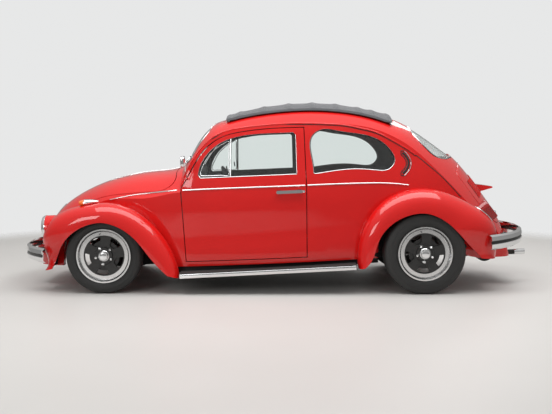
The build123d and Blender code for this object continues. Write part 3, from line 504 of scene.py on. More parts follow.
def disc(place, radius, depth, axis, rounding, sides=48):
    """A short cylinder at a point, along an axis, with a rounded edge; sizes in millimetres."""
    turn = Vector(axis).normalized().to_track_quat("Z", "Y").to_euler()
    piece = fresh(bpy.ops.mesh.primitive_cylinder_add, vertices=sides, radius=radius / 1000, depth=depth / 1000,
                  location=place, rotation=turn)
    modify(piece, "BEVEL", width=rounding / 1000, segments=2, limit_method="ANGLE")
    return piece


def tube(points, radius, closed=False, resolution=3):
    """A bar bent along points in metres, with its radius in millimetres."""
    curve = bpy.data.curves.new("bar", "CURVE")
    curve.dimensions = "3D"
    line = curve.splines.new("POLY")
    line.points.add(len(points) - 1)
    for node, point in zip(line.points, points):
        node.co = (*point, 1)
    line.use_cyclic_u = closed
    curve.bevel_depth = radius / 1000
    curve.bevel_resolution = resolution
    curve.use_fill_caps = not closed
    piece = bpy.data.objects.new("bar", curve)
    bpy.context.scene.collection.objects.link(piece)
    pick(piece)
    bpy.ops.object.convert(target="MESH")
    return bpy.context.object


def bar(name, finish, points, radius, body="body", closed=False, resolution=3):
    """A bent bar, settled."""
    return settle(tube(points, radius, closed, resolution), name, finish, body, 60)


def smooth_line(points, step=10.0, closed=False):
    """An even run of points along a soft line through the given ones, in their own units."""
    count = len(points)
    points = [Vector(p) for p in points]
    dense = []
    for i in range(count if closed else count - 1):
        if closed:
            a, b, c, d = (points[(i + k) % count] for k in (-1, 0, 1, 2))
        else:
            a, b, c, d = (points[min(max(i + k, 0), count - 1)] for k in (-1, 0, 1, 2))
        pieces = max(2, int((c - b).length / step))
        for k in range(pieces):
            t = k / pieces
            dense.append(0.5 * (2 * b + (c - a) * t + (2 * a - 5 * b + 4 * c - d) * t * t
                                + (3 * b - a - 3 * c + d) * t ** 3))
    if not closed:
        dense.append(points[-1])
    return dense


@functools.lru_cache(maxsize=None)
def shell_of(*names):
    """A ray target made of some nodes."""
    mesh = bmesh.new()
    for name in names:
        mesh.from_mesh(nodes[name].data)
    tree = BVHTree.FromBMesh(mesh)
    mesh.free()
    return tree


def laid(target, rays, proud):
    """Where rays of (start, way) meet the target, standing proud of it by some millimetres."""
    found = []
    for start, way in rays:
        hit, normal, _, _ = target.ray_cast(start, way)
        if hit is not None:
            found.append(hit + normal * proud / 1000)
    return found


def on_side(target, line, proud, side=LEFT, step=10.0, closed=False):
    """Points (y, z) of the drawing laid on the car's side."""
    points = [at(0, p.y, p.z) for p in smooth_line([(0, y, z) for y, z in line], step, closed)]
    return laid(target, [(Vector((side * LOOK_FROM, p.y, p.z)), Vector((-side, 0, 0))) for p in points], proud)


def on_top(target, line, proud, step=10.0):
    """Points (x, y) of the drawing laid on the car from above."""
    points = smooth_line([(x, y, 0) for x, y in line], step)
    return laid(target, [(at(p.x, p.y, 2000), -along(0, 0, 1)) for p in points], proud)


def on_end(target, line, proud, facing, step=10.0):
    """Points (x, z) of the drawing laid on the nose (facing -1) or the tail (facing 1)."""
    points = smooth_line([(x, 0, z) for x, z in line], step)
    return laid(target, [(at(p.x, facing * 2600, p.z), -along(0, facing, 0)) for p in points], proud)


def pane_edges(name, axis):
    """The outer edge of each pane of a glass node: closed runs of (point, outward normal).

    The panes are cut square to one axis, so their edge faces stand square to it."""
    mesh = bmesh.new()
    mesh.from_mesh(nodes[name].data)
    bmesh.ops.remove_doubles(mesh, verts=mesh.verts, dist=0.00002)
    index = "xyz".index(axis)

    def outside(face):
        middle = face.calc_center_median()[index]
        return face.normal[index] * (1 if middle > 0 else -1) > 0.15

    edges = [e for e in mesh.edges if len(e.link_faces) == 2
             and sorted((outside(e.link_faces[0]), outside(e.link_faces[1]))) == [False, True]
             and min(abs(f.normal[index]) for f in e.link_faces) < 0.12]
    ways = {}
    for edge in edges:
        normal = next(f.normal.copy() for f in edge.link_faces if outside(f))
        a, b = edge.verts
        ways.setdefault(a, []).append((b, normal))
        ways.setdefault(b, []).append((a, normal))
    runs, used = [], set()
    for start in ways:
        if start in used:
            continue
        run, here = [], start
        while here is not None and here not in used:
            used.add(here)
            run.append((here.co.copy(), sum((n for _, n in ways[here]), Vector()).normalized()))
            here = next((v for v, _ in ways[here] if v not in used), None)
        if len(run) > 12:
            runs.append(run)
    mesh.free()
    return chained(runs)


def chained(runs):
    """Closed runs as they are, and broken ones chained end to end into one loop."""
    loops = [run for run in runs if (run[0][0] - run[-1][0]).length < 0.06]
    broken = [run for run in runs if run not in loops]
    if broken:
        chain = broken.pop(0)
        while broken:
            end = chain[-1][0]
            nearest = min(broken, key=lambda run: min((run[0][0] - end).length, (run[-1][0] - end).length))
            broken.remove(nearest)
            if (nearest[-1][0] - end).length < (nearest[0][0] - end).length:
                nearest.reverse()
            chain += nearest
        loops.append(chain)
    return loops


def even_run(run, step=0.009):
    """A closed run of (point, normal) at even spacing."""
    total = [0.0]
    count = len(run)
    for i in range(count):
        total.append(total[-1] + (run[(i + 1) % count][0] - run[i][0]).length)
    pieces = int(total[-1] / step)
    out, i = [], 0
    for k in range(pieces):
        where = total[-1] * k / pieces
        while total[i + 1] < where:
            i += 1
        t = (where - total[i]) / max(total[i + 1] - total[i], 1e-9)
        a, b = run[i], run[(i + 1) % count]
        out.append((a[0].lerp(b[0], t), a[1].lerp(b[1], t).normalized()))
    return out


def skin(name, sources, wanted, finish, body="body", lift=0.0015):
    """A lining laid on the faces of some nodes that pass a test of their middle and normal."""
    mesh = bmesh.new()
    for source in sources:
        mesh.from_mesh(nodes[source].data)
    bmesh.ops.remove_doubles(mesh, verts=mesh.verts, dist=0.00002)
    mesh.normal_update()
    spare = [f for f in mesh.faces if not wanted(f.calc_center_median(), f.normal)]
    bmesh.ops.delete(mesh, geom=spare, context="FACES")
    mesh.normal_update()
    for vert in mesh.verts:
        vert.co += vert.normal * lift
    data = bpy.data.meshes.new(name)
    mesh.to_mesh(data)
    mesh.free()
    piece = bpy.data.objects.new(name, data)
    bpy.context.scene.collection.objects.link(piece)
    return settle(piece, name, finish, body, 40)


# ------------------------------------------------------------------ folding roof
ROOF_FRONT, ROOF_REAR, ROOF_HALF, ROOF_CORNER = -255, 1040, 432, 46
ROOF_MIDDLE = (ROOF_FRONT + ROOF_REAR) / 2
BOWS = (-238, -150, 40, 240, 430, 615, 790, 900, 1022)
CLOTH = 0.0028


def plan_edge(x, y):
    """Distance inside the roof's rounded plan, in millimetres."""
    px = abs(x) - (ROOF_HALF - ROOF_CORNER)
    py = abs(y - ROOF_MIDDLE) - ((ROOF_REAR - ROOF_FRONT) / 2 - ROOF_CORNER)
    outside = math.hypot(max(px, 0), max(py, 0))
    return ROOF_CORNER - outside - min(max(px, py), 0)


def roof_plan(u, v):
    """Where a point of the cloth lies in plan and how far inside the edge; points crowd towards the edge."""
    x = ROOF_HALF * (1.35 * u - 0.35 * u ** 3)
    y = ROOF_MIDDLE + (ROOF_REAR - ROOF_FRONT) / 2 * (1.12 * v - 0.12 * v ** 3)
    inside = plan_edge(x, y)
    if inside >= 0:
        return x, y, inside
    centre = Vector((math.copysign(ROOF_HALF - ROOF_CORNER, x),
                     ROOF_REAR - ROOF_CORNER if y > ROOF_MIDDLE else ROOF_FRONT + ROOF_CORNER))
    arm = (Vector((x, y)) - centre).normalized() * ROOF_CORNER
    return centre.x + arm.x, centre.y + arm.y, 0


def roof_height(target, x, y):
    """The cover's surface at a place in plan, looked up a little inside its edge."""
    probe_x = max(-ROOF_HALF + 5, min(ROOF_HALF - 5, x))
    probe_y = max(ROOF_FRONT + 5, min(ROOF_REAR - 5, y))
    short = max(0.0, 14 - plan_edge(probe_x, probe_y)) / 14
    probe = Vector((probe_x, probe_y)).lerp(Vector((0, 390)), 0.04 * short)
    hit = target.ray_cast(at(probe.x, probe.y, 2000), -along(0, 0, 1))[0]
    if hit is None:
        hit = target.find_nearest(at(probe.x, probe.y, 1400))[0]
    return Vector((at(x, y, 0).x, hit.y + (at(x, y, 0) - at(probe.x, probe.y, 0)).y, hit.z))


def roof_drop(y, inside):
    """How far the cloth lies under the cover's surface: it sags between bows and turns down at its edge."""
    near = min(abs(y - bow) for bow in BOWS)
    span = 92 if y > -160 else 50
    sag = 8.5 * (1 - math.exp(-(near / 26) ** 1.4)) * min(1, inside / 40) * min(1, span / 60)
    turn = 26 * (1 - math.sqrt(max(0.0, 1 - (1 - min(inside, 20) / 20) ** 2)))
    stitch = 1.6 * math.exp(-((inside - 34) / 3.0) ** 2)
    return sag + turn + stitch - 1.5


def folding_roof():
    """One stretched cloth over its bows, turned down and hemmed at its edge."""
    target = shell_of("roof_cover")
    canvas_piece = fresh(bpy.ops.mesh.primitive_grid_add, x_subdivisions=72, y_subdivisions=150, size=1)
    for vert in canvas_piece.data.vertices:
        x, y, inside = roof_plan(vert.co.x * 2, vert.co.y * 2)
        vert.co = roof_height(target, x, y) - along(0, 0, 1) * roof_drop(y, inside) / 1000
    modify(canvas_piece, "SOLIDIFY", thickness=CLOTH, offset=-1)
    facing_out(canvas_piece)
    settle(canvas_piece, "roof_canvas", CANVAS, angle=50)
    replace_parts(canvas_piece, "roof_cover")

    corner = ((14, 60), (26, 26), (60, 14))     # the hem's round corners, inwards from the roof's sides
    ends = [(ROOF_HALF - a, ROOF_REAR - b, 0) for a, b in corner]
    ends += [(-ROOF_HALF + a, ROOF_REAR - b, 0) for a, b in reversed(corner)]
    ends += [(-ROOF_HALF + a, ROOF_FRONT + b, 0) for a, b in corner]
    ends += [(ROOF_HALF - a, ROOF_FRONT + b, 0) for a, b in reversed(corner)]
    ends = ends[-1:] + ends[:-1]
    hem = []
    for point in smooth_line(ends, 14, True):
        hit = target.ray_cast(at(point.x * 0.985, point.y * 0.99 + 4, 2000), -along(0, 0, 1))[0]
        if hit is not None:
            out = at(point.x * 1.03, point.y, 0)
            hem.append(Vector((out.x, hit.y, hit.z)) - along(0, 0, 1) * 0.0225)
    settle(tube(hem, 4.2, True), "roof_hem", CANVAS)


# ------------------------------------------------------------------ seats
WAIST = 0.03        # how much a pad's sides draw in at the middle of their height


def pad(x, y, z, wide, long, tall, lean, swell, channels):
    """An upholstered pad: blown up a little from a smaller block, then seamed and pleated.

    It lies flat when it doesn't lean, and its top carries the pleats, which run fore and aft."""
    piece = fresh(bpy.ops.mesh.primitive_cube_add, size=1)
    piece.scale = ((wide - 1.2 * swell) / 1000, (long - 1.2 * swell) / 1000, (tall - 1.4 * swell) / 1000)
    bpy.ops.object.transform_apply(location=False, rotation=False, scale=True)
    modify(piece, "BEVEL", width=min(tall, long, wide) * 0.0002, segments=3)
    modify(piece, "REMESH", mode="VOXEL", voxel_size=0.0105)
    rest = [v.co.copy() for v in piece.data.vertices]
    pick(piece)
    blow = piece.modifiers.new("stuffing", "CLOTH")
    blow.settings.quality = 4
    blow.settings.use_pressure = True
    blow.settings.uniform_pressure_force = 4.0
    blow.settings.effector_weights.gravity = 0
    blow.point_cache.frame_end = 20
    for step in range(1, 21):
        bpy.context.scene.frame_set(step)
    bpy.ops.object.modifier_apply(modifier=blow.name)
    bpy.context.scene.frame_set(1)
    half = Vector((wide, long, tall)) / 2000
    for vert, start in zip(piece.data.vertices, rest):
        move = vert.co - start
        if move.length > swell / 1000:
            vert.co = start + move.normalized() * swell / 1000
    modify(piece, "SUBSURF", levels=1, render_levels=1)
    for vert in piece.data.vertices:
        u, v, w = (vert.co[i] / half[i] for i in range(3))
        pull = 1 - WAIST * (1 - w * w) * (1 - min(1, abs(v)) ** 4)
        vert.co.x *= pull
        if w > 0.15:
            field = min(1, max(0, (0.80 - abs(u)) * 9)) * min(1, max(0, (0.84 - abs(v)) * 9))
            seam = math.exp(-((0.82 - max(abs(u), abs(v))) / 0.025) ** 2)
            ridge = abs(math.sin(math.pi * channels * (u / 0.82 + 1) / 2))
            vert.co.z -= (field * 0.006 * (1 - ridge ** 0.55) + 0.004 * seam) * min(1, (w - 0.15) * 3)
        for i in range(3):
            vert.co[i] = max(-half[i], min(half[i], vert.co[i]))
    piece.matrix_world = Matrix.Translation(at(x, y, z)) @ Matrix.Rotation(RAKE - math.radians(lean), 4, "X")
    return piece


def seats():
    """Two front seats on their bases and rails, and the bench behind them."""
    pair(block(305, 60, 330, 372, 392, 60, 14), "seat_base", CHASSIS_BLACK)
    for x, place in ((150, "inner"), (460, "outer")):
        pair(block(x, 60, 290, 26, 430, 26, 5), f"seat_rail_{place}", CHASSIS_BLACK)
    cushions = pair(pad(305, 55, 462, 470, 500, 138, 0, 16, 9), "front_cushion", SEAT_VINYL, angle=60)
    backrests = pair(pad(305, 420, 702, 462, 478, 102, -101, 14, 9), "front_backrest", SEAT_VINYL, angle=60)
    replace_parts(cushions[0], "front_seats")
    low = pad(0, 765, 520, 1120, 330, 120, -4, 14, 21)
    settle(low, "rear_cushion", SEAT_VINYL, angle=60)
    high = pad(0, 1035, 745, 1080, 330, 96, -110, 12, 21)
    settle(high, "rear_backrest", SEAT_VINYL, angle=60)
    settle(block(0, 750, 390, 1010, 250, 130, 16), "rear_seat_plinth", CARPET)
    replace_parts(low, "rear_seat")


# ------------------------------------------------------------------ tyres and wheels
def tyre(hub_x, hub, radius, width, rubber, end):
    """A radial tyre: ringed sidewalls, three grooves round the tread and cross cuts on its shoulders."""
    half, inner = width / 2, 0.204
    rim_half = half - 0.012
    wall = [(rim_half - 0.001, inner + 0.002), (half - 0.0065, inner + 0.012), (half - 0.004, inner + 0.014),
            (half - 0.0045, inner + 0.019), (half - 0.0022, inner + 0.022),
            (half - 0.0006, (inner + radius) / 2 - 0.008), (half - 0.0006, (inner + radius) / 2 + 0.002),
            (half - 0.0030, (inner + radius) / 2 + 0.004), (half - 0.0042, radius - 0.024),
            (half - 0.0078, radius - 0.016), (half - 0.0135, radius - 0.0085), (half - 0.020, radius - 0.0042)]
    tread = [(half - 0.030, radius - 0.0008)]
    for middle in (half * 0.42, 0.0, -half * 0.42):
        tread += [(middle + 0.0042, radius - 0.0002), (middle + 0.0034, radius - 0.0072),
                  (middle - 0.0034, radius - 0.0072), (middle - 0.0042, radius - 0.0002)]
    tread += [(-half + 0.030, radius - 0.0008)]
    profile = wall + tread + [(-x, r) for x, r in reversed(wall)] + [(-rim_half + 0.012, inner - 0.011),
                                                                      (rim_half - 0.012, inner - 0.011)]
    piece = fresh(bpy.ops.mesh.primitive_circle_add, vertices=len(profile), radius=0.1)
    for vert, (x, r) in zip(piece.data.vertices, profile):
        vert.co = (hub_x + x, hub.y, hub.z + r)
    bpy.ops.object.mode_set(mode="EDIT")
    bpy.ops.mesh.select_all(action="SELECT")
    bpy.ops.mesh.spin(steps=80, angle=math.tau, center=(hub_x, hub.y, hub.z), axis=(1, 0, 0))
    bpy.ops.mesh.select_all(action="SELECT")
    bpy.ops.mesh.remove_doubles(threshold=0.00005)
    bpy.ops.mesh.normals_make_consistent(inside=False)
    bpy.ops.mesh.select_all(action="DESELECT")
    mesh = bmesh.from_edit_mesh(piece.data)

    def reach(vert):
        return math.hypot(vert.co.y - hub.y, vert.co.z - hub.z)

    for edge in mesh.edges:
        a, b = edge.verts
        lies_across = abs(a.co.x - b.co.x) > 0.0045 and (a.co - b.co).length - abs(a.co.x - b.co.x) < 0.003
        edge.select = lies_across and min(reach(a), reach(b)) > radius - 0.0095
    bmesh.update_edit_mesh(piece.data)
    bpy.ops.mesh.bevel(offset=0.0016, segments=1, affect="EDGES")
    bpy.ops.mesh.select_all(action="DESELECT")
    mesh = bmesh.from_edit_mesh(piece.data)
    for face in mesh.faces:
        middle = face.calc_center_median()
        high = math.hypot(middle.y - hub.y, middle.z - hub.z) > radius - 0.0065
        across = max(v.co.x for v in face.verts) - min(v.co.x for v in face.verts)
        short = face.calc_area() < across * 0.0042
        face.select = high and short and across > 0.004
    bmesh.update_edit_mesh(piece.data)
    bpy.ops.mesh.extrude_region_shrink_fatten(TRANSFORM_OT_shrink_fatten={"value": -0.005})
    bpy.ops.object.mode_set(mode="OBJECT")
    settle(piece, f"tread_{end}_left", rubber, f"wheel_{end}_left", 28)
    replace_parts(piece, f"tyre_{end}_left")
    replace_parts(twin(piece, f"tread_{end}_right", rubber, f"wheel_{end}_right"), f"tyre_{end}_right")


def lathe(profile, centre, axis, steps=64):
    """A ring turned about an axis; the profile gives (along the axis, radius) in metres."""
    piece = fresh(bpy.ops.mesh.primitive_circle_add, vertices=len(profile), radius=0.1)
    axis = Vector(axis).normalized()
    side = axis.orthogonal().normalized()
    for vert, (reach, radius) in zip(piece.data.vertices, profile):
        vert.co = centre + axis * reach + side * radius
    bpy.ops.object.mode_set(mode="EDIT")
    bpy.ops.mesh.select_all(action="SELECT")
    bpy.ops.mesh.spin(steps=steps, angle=math.tau, center=centre, axis=axis)
    bpy.ops.object.mode_set(mode="OBJECT")
    facing_out(piece, 0.00004)
    return piece


NUT_CIRCLE, VALVE_CIRCLE = 0.0625, 0.168
FIRST_NUT, VALVE_ANGLE = math.radians(-26), math.radians(100)


def wheel_nut(place, turn):
    """A hexagon nut with a raised and rounded head."""
    nut = fresh(bpy.ops.mesh.primitive_cylinder_add, vertices=6, radius=0.0098, depth=0.020,
                rotation=(0, math.pi / 2, turn), location=place)
    bpy.ops.object.mode_set(mode="EDIT")
    bpy.ops.mesh.select_all(action="DESELECT")
    mesh = bmesh.from_edit_mesh(nut.data)
    for face in mesh.faces:
        face.select = abs(face.normal.z) > 0.9 and face.calc_center_median().z > 0
    bmesh.update_edit_mesh(nut.data)
    bpy.ops.mesh.inset(thickness=0.0022)
    bpy.ops.mesh.extrude_region_shrink_fatten(TRANSFORM_OT_shrink_fatten={"value": 0.003})
    bpy.ops.mesh.inset(thickness=0.002)
    bpy.ops.object.mode_set(mode="OBJECT")
    modify(nut, "BEVEL", width=0.0008, segments=2, limit_method="ANGLE")
    return nut


def wheel_fittings(hub_x, hub, width, end):
    """Five nuts, a ringed cap and a valve for one wheel, and their twins."""
    face = hub_x + width / 2 - 0.012
    body, middle = f"wheel_{end}", Vector((face, hub.y, hub.z))
    nuts = []
    for k in range(5):
        angle = FIRST_NUT + math.radians(72) * k + RAKE
        reach = NUT_CIRCLE * Vector((0, math.cos(angle), math.sin(angle)))
        nuts.append(wheel_nut(middle + reach - Vector((0.014, 0, 0)), angle))
    pair(joined(nuts), f"wheel_nuts_{end}", CHROME, body)
    ring = lathe([(-0.0125, 0.0342), (-0.0125, 0.0395), (-0.008, 0.0405), (-0.006, 0.038), (-0.009, 0.0342)],
                 middle, (1, 0, 0))
    pair(ring, f"cap_ring_{end}", CHROME, body)
    crown = lathe([(0.0135, 0.0), (0.0135, 0.027), (0.0158, 0.026), (0.0175, 0.020), (0.0182, 0.010),
                   (0.0185, 0.0)], middle, (1, 0, 0))
    pair(crown, f"cap_crown_{end}", CHROME, body)
    outward = Vector((0, math.cos(VALVE_ANGLE), math.sin(VALVE_ANGLE)))
    foot = middle + VALVE_CIRCLE * outward - Vector((0.030, 0, 0))
    stem = tube([foot, foot + Vector((0.010, 0, 0)), foot + Vector((0.024, 0, 0)) - 0.004 * outward], 3.4)
    pair(stem, f"valve_{end}", SEAL, body)


folding_roof()
seats()
tyre(FRONT_HUB_X, FRONT_HUB, FRONT_TYRE, FRONT_WIDTH, RUBBER_FRONT, "front")
tyre(REAR_HUB_X, REAR_HUB, REAR_TYRE, REAR_WIDTH, RUBBER_REAR, "rear")
wheel_fittings(FRONT_HUB_X, FRONT_HUB, FRONT_WIDTH, "front")
wheel_fittings(REAR_HUB_X, REAR_HUB, REAR_WIDTH, "rear")


# ------------------------------------------------------------------ glass seals and bright trims
def window_trims():
    """A rubber seal with a bright insert round every pane."""
    for pane, axis, body in (("windscreen", "y", "body"), ("rear_window", "y", "body"),
                             ("quarter_windows", "x", "body"), ("door_glass_left", "x", "door_left"),
                             ("door_glass_right", "x", "door_right")):
        for number, run in enumerate(pane_edges(pane, axis), 1):
            even = even_run(run)
            bar(f"{pane}_seal_{number}", SEAL, [p + n * 0.0005 for p, n in even], 8.5, body, True, 2)
            bar(f"{pane}_bright_{number}", CHROME, [p + n * 0.0066 for p, n in even], 4.2, body, True, 2)


def vent_windows():
    """The small front panes' posts, frames and catches."""
    rim = [(-240, 958), (-234, 1080), (-229, 1205), (-262, 1197), (-318, 1165), (-382, 1110), (-428, 1040),
           (-456, 966), (-400, 954), (-300, 954)]
    for side, hand in ((LEFT, "left"), (RIGHT, "right")):
        glass, door = shell_of(f"door_glass_{hand}"), f"door_{hand}"
        bar(f"vent_post_{hand}", CHROME, on_side(glass, [(-227, 944), (-220, 1090), (-212, 1236)], 3.0, side), 6.5,
            door)
        bar(f"vent_frame_{hand}", CHROME, on_side(glass, rim, 2, side, 12, True), 3.6, door, True, 2)
        catch = on_side(glass, [(-252, 985), (-256, 1022)], -9, side)
        middle = catch[0].lerp(catch[-1], 0.5) + Vector((-side * 0.010, 0, 0))
        bar(f"vent_catch_{hand}", SATIN, [catch[0], middle, catch[-1]], 5, door)


def side_trims():
    """Drip rails, belt strips and vent lips, pressed or clipped on the sides, with black lines of painted shadow
    under the drip rails and painted shade along the rear creases.
    """
    rail = [(-606, 884), (-582, 949), (-524, 1053), (-445, 1156), (-357, 1235), (-248, 1283), (-88, 1306),
            (125, 1318), (338, 1317), (614, 1295), (757, 1264), (901, 1220), (1089, 1110), (1183, 1042)]
    crease = rail[-2:] + [(1276, 962), (1369, 880), (1461, 782), (1530, 702)]
    belt_front = [(-1170, 799), (-1001, 826), (-843, 840), (-640, 855)]
    belt_door = [(-594, 855), (-300, 856), (0, 855), (330, 853)]
    belt_rear = [(348, 853), (588, 852), (850, 845), (1000, 833), (1118, 815)]
    for side, hand in ((LEFT, "left"), (RIGHT, "right")):
        body = shell_of("body_shell")
        bar(f"drip_rail_{hand}", ENAMEL, on_side(body, rail, 2.0, side), 6.5)
        # Painted shadow: a black line 8.5 mm under each drip rail stands in for the shadow the rail casts on the
        # side.
        seam = [p - Vector((0, 0, 0.0085)) for p in on_side(body, rail, 0.4, side)]
        bar(f"drip_rail_painted_shadow_{hand}", SEAL, seam, 4.2)
        # Painted shade: a black line sunk into the crease behind the rear side window stands in for the shade that
        # gathers in the crease.
        bar(f"quarter_crease_painted_shade_{hand}", SEAL, on_side(body, crease, -0.5, side), 3.4)
        bar(f"belt_front_{hand}", CHROME, on_side(body, belt_front, 1.6, side), 5.4)
        door_belt = on_side(shell_of(f"door_{hand}"), belt_door, 1.6, side)
        bar(f"belt_door_{hand}", CHROME, door_belt, 5.4, f"door_{hand}")
        bar(f"belt_rear_{hand}", CHROME, on_side(body, belt_rear, 1.6, side), 5.4)
        quarter_vent(body, side, hand)


VENT_TOP, VENT_BEND, VENT_FOOT = Vector((1084, 1063)), Vector((1127, 981)), Vector((1077, 904))
VENT_HALF = 18


def quarter_vent(body, side, hand):
    """A crescent slot behind a rear side window, its opening drawn as a black bar of painted shade, with its
    rubber lip and a bright outer edge.
    """
    middle = []
    for k in range(13):
        t = k / 12
        middle.append(VENT_TOP * (1 - t) * (1 - 2 * t) + VENT_BEND * 4 * t * (1 - t) + VENT_FOOT * t * (2 * t - 1))
    outer, inner = [], []
    for k, point in enumerate(middle):
        way = (middle[min(k + 1, 12)] - middle[max(k - 1, 0)]).normalized()
        square = Vector((-way.y, way.x)) * VENT_HALF
        outer.append(point + square)
        inner.append(point - square)
    first = (middle[0] - middle[1]).normalized() * VENT_HALF + middle[0]
    last = (middle[-1] - middle[-2]).normalized() * VENT_HALF + middle[-1]
    loop = [first] + outer + [last] + inner[::-1] + [first]
    # The "dark" piece is painted shade: a black bar sunk into the side stands in for the shade inside the vent's
    # opening.
    for name, finish, line, proud, radius, closed, resolution in (
            ("dark", SEAL, middle, -11, 15, False, 3), ("lip", SEAL, loop, 0.2, 3.6, True, 2),
            ("bright", CHROME, outer, 2.2, 3.0, False, 3)):
        bar(f"quarter_vent_{name}_{hand}", finish, on_side(body, [(p.x, p.y) for p in line], proud, side, 14),
            radius, "body", closed, resolution)


def board_edges():
    """Bright mouldings and their rubber beads along the running boards."""
    for side, hand in ((LEFT, "left"), (RIGHT, "right")):
        edge = block(side * 771.5, 24, 227, 8, 1318, 31, 3.4, -0.35)
        settle(edge, f"board_moulding_{hand}", CHROME)
        bead = block(side * 770.4, 24, 247, 5, 1312, 6, 2.0, -0.35)
        settle(bead, f"board_bead_{hand}", SEAL)


def door_fittings():
    """Buttons on the handles, mirror glass and escutcheons."""
    for side, hand in ((LEFT, "left"), (RIGHT, "right")):
        button = disc(at(side * 692, 318, 811), 9.5, 10, (side, 0, 0), 2.0, 28)
        settle(button, f"door_button_{hand}", CHROME, f"door_{hand}")
        for name, y in (("front", 133), ("rear", 286)):
            foot = on_side(shell_of(f"door_{hand}"), [(y, 811), (y + 1, 811)], 0, side)[0]
            plate = block(side * foot.x * 1000, y, 811, 5, 34, 27, 2.4)
            settle(plate, f"handle_foot_{name}_{hand}", SEAL, f"door_{hand}")
        glass = block(side * 748, -577.2, 1072, 104, 1.6, 72, 0.7)
        settle(glass, f"mirror_glass_{hand}", MIRROR, f"door_{hand}")
        bezel_line = [at(side * (748 + dx), -577.0, 1072 + dz) for dx, dz in
                      ((-52, 0), (-51, 24), (-40, 35), (0, 37), (40, 35), (51, 24),
                       (52, 0), (51, -24), (40, -35), (0, -37), (-40, -35), (-51, -24))]
        bar(f"mirror_bezel_{hand}", CHROME, smooth_line(bezel_line, 0.006, True), 2.4, f"door_{hand}", True, 2)


def hood_trims():
    """The bright strip along the hood and its handle."""
    hood = shell_of("hood")
    bar("hood_strip", CHROME, on_top(hood, [(0, -672), (0, -900), (0, -1200), (0, -1420)], 0.4, 14), 3.6, "hood")
    bar("hood_handle", CHROME, on_end(hood, [(0, 742), (0, 700), (0, 640)], 9, -1, 12), 8.0, "hood")


def wipers():
    """Two arms with their blades, parked along the foot of the windscreen."""
    screen = shell_of("windscreen", "body_shell")
    for number, (foot_x, tip_x, spread) in enumerate(((250, 40, 190), (-190, -330, 150)), 1):
        arm = on_end(screen, [(foot_x, 1046), (foot_x - 60, 1066), (tip_x + 40, 1092), (tip_x, 1098)], 13, -1, 14)
        bar(f"wiper_arm_{number}", CHROME, arm, 3.4)
        blade = on_end(screen, [(tip_x - spread, 1080), (tip_x, 1092), (tip_x + spread, 1098)], 6, -1, 14)
        bar(f"wiper_blade_{number}", SEAL, blade, 4.4)
        pivot = disc(arm[0], 13, 20, (0, -0.7, 0.7), 4, 28)
        settle(pivot, f"wiper_pivot_{number}", CHROME)


def lid_trims():
    """Four groups of six louvres on the engine lid, with black bars of painted shade for the openings beside them,
    and its latch.
    """
    lid = shell_of("engine_lid")
    ribs, louvre_shade_bars = [], []
    for group in (-225, -78, 78, 225):
        for k in range(6):
            x = group + (k - 2.5) * 19
            top = 846 - 0.00055 * x * x
            line = [(x, top), (x, top - 40), (x, top - 85), (x, top - 132)]
            ribs.append(tube(on_end(lid, line, 0.6, 1, 16), 5.6))
            # Painted shade: a black bar beside each rib stands in for the shade inside the louvre's opening.
            louvre_shade_bars.append(tube(on_end(lid, [(px + 7.2, pz) for px, pz in line], -1.4, 1, 16), 3.6))
    settle(joined(ribs), "lid_louvres", ENAMEL, "engine_lid", 60)
    settle(joined(louvre_shade_bars), "lid_louvre_painted_shade", SEAL, "engine_lid", 60)
    knob = disc(on_end(lid, [(0, 520), (0, 519)], 8, 1, 5)[0], 17, 26, (0, 1, 0), 4, 32)
    settle(knob, "lid_latch", CHROME, "engine_lid")


def headlamp(side, hand):
    """The bowl and bulb behind a headlamp's glass."""
    x, y, z = HEADLAMP
    centre = at(side * x, y, z)
    bowl = lathe([(-0.004, 0.0745), (0.014, 0.066), (0.030, 0.050), (0.042, 0.022), (0.044, 0.002),
                  (0.0465, 0.002), (0.0445, 0.023), (0.032, 0.0525), (0.015, 0.069), (-0.004, 0.0765)],
                 centre, along(0, 1, 0), 56)
    settle(bowl, f"headlamp_bowl_{hand}", MIRROR)
    bulb = lathe([(0.042, 0.0), (0.042, 0.011), (0.030, 0.013), (0.018, 0.012), (0.010, 0.007), (0.008, 0.0)],
                 centre, along(0, 1, 0), 24)
    settle(bulb, f"headlamp_bulb_{hand}", LAMP_GLASS)


def tail_lamp_frame(side, hand):
    """A bright frame where a tail lamp's round-topped body meets the fender."""
    outline = [(54 * math.cos(turn), -18 - 64 * math.sin(turn), 0)
               for turn in (math.pi * k / 14 for k in range(15))]
    outline += [(-50, 50, 0), (-46, 73, 0), (-20, 78, 0), (20, 78, 0), (46, 73, 0), (50, 50, 0)]
    x, y, z = TAIL_LAMP
    _, back, up = TAIL_LAMP_AXIS
    rays = [(at(side * (x + p.x), y + up * p.y + back * 150, z - back * p.y + up * 150), -along(*TAIL_LAMP_AXIS))
            for p in smooth_line(outline, 8, True)]
    line = laid(shell_of("rear_fenders", "body_shell"), rays, 0.5)
    bar(f"tail_lamp_frame_{hand}", CHROME, line, 4.6, "body", True, 2)


def tailpipe_tip(side, hand):
    """A chrome sleeve over the end of a tailpipe."""
    x, y, z = TAILPIPE
    tip = lathe([(-0.080, PIPE_R + 0.0003), (-0.080, PIPE_R + 0.0022), (0.0, PIPE_R + 0.0022),
                 (0.003, PIPE_R + 0.001), (0.002, PIPE_R - 0.0016), (-0.03, PIPE_R - 0.0021),
                 (-0.03, PIPE_R - 0.0018)], at(side * x, y, z), along(0, 1, 0), 40)
    settle(tip, f"tailpipe_tip_{hand}", CHROME)


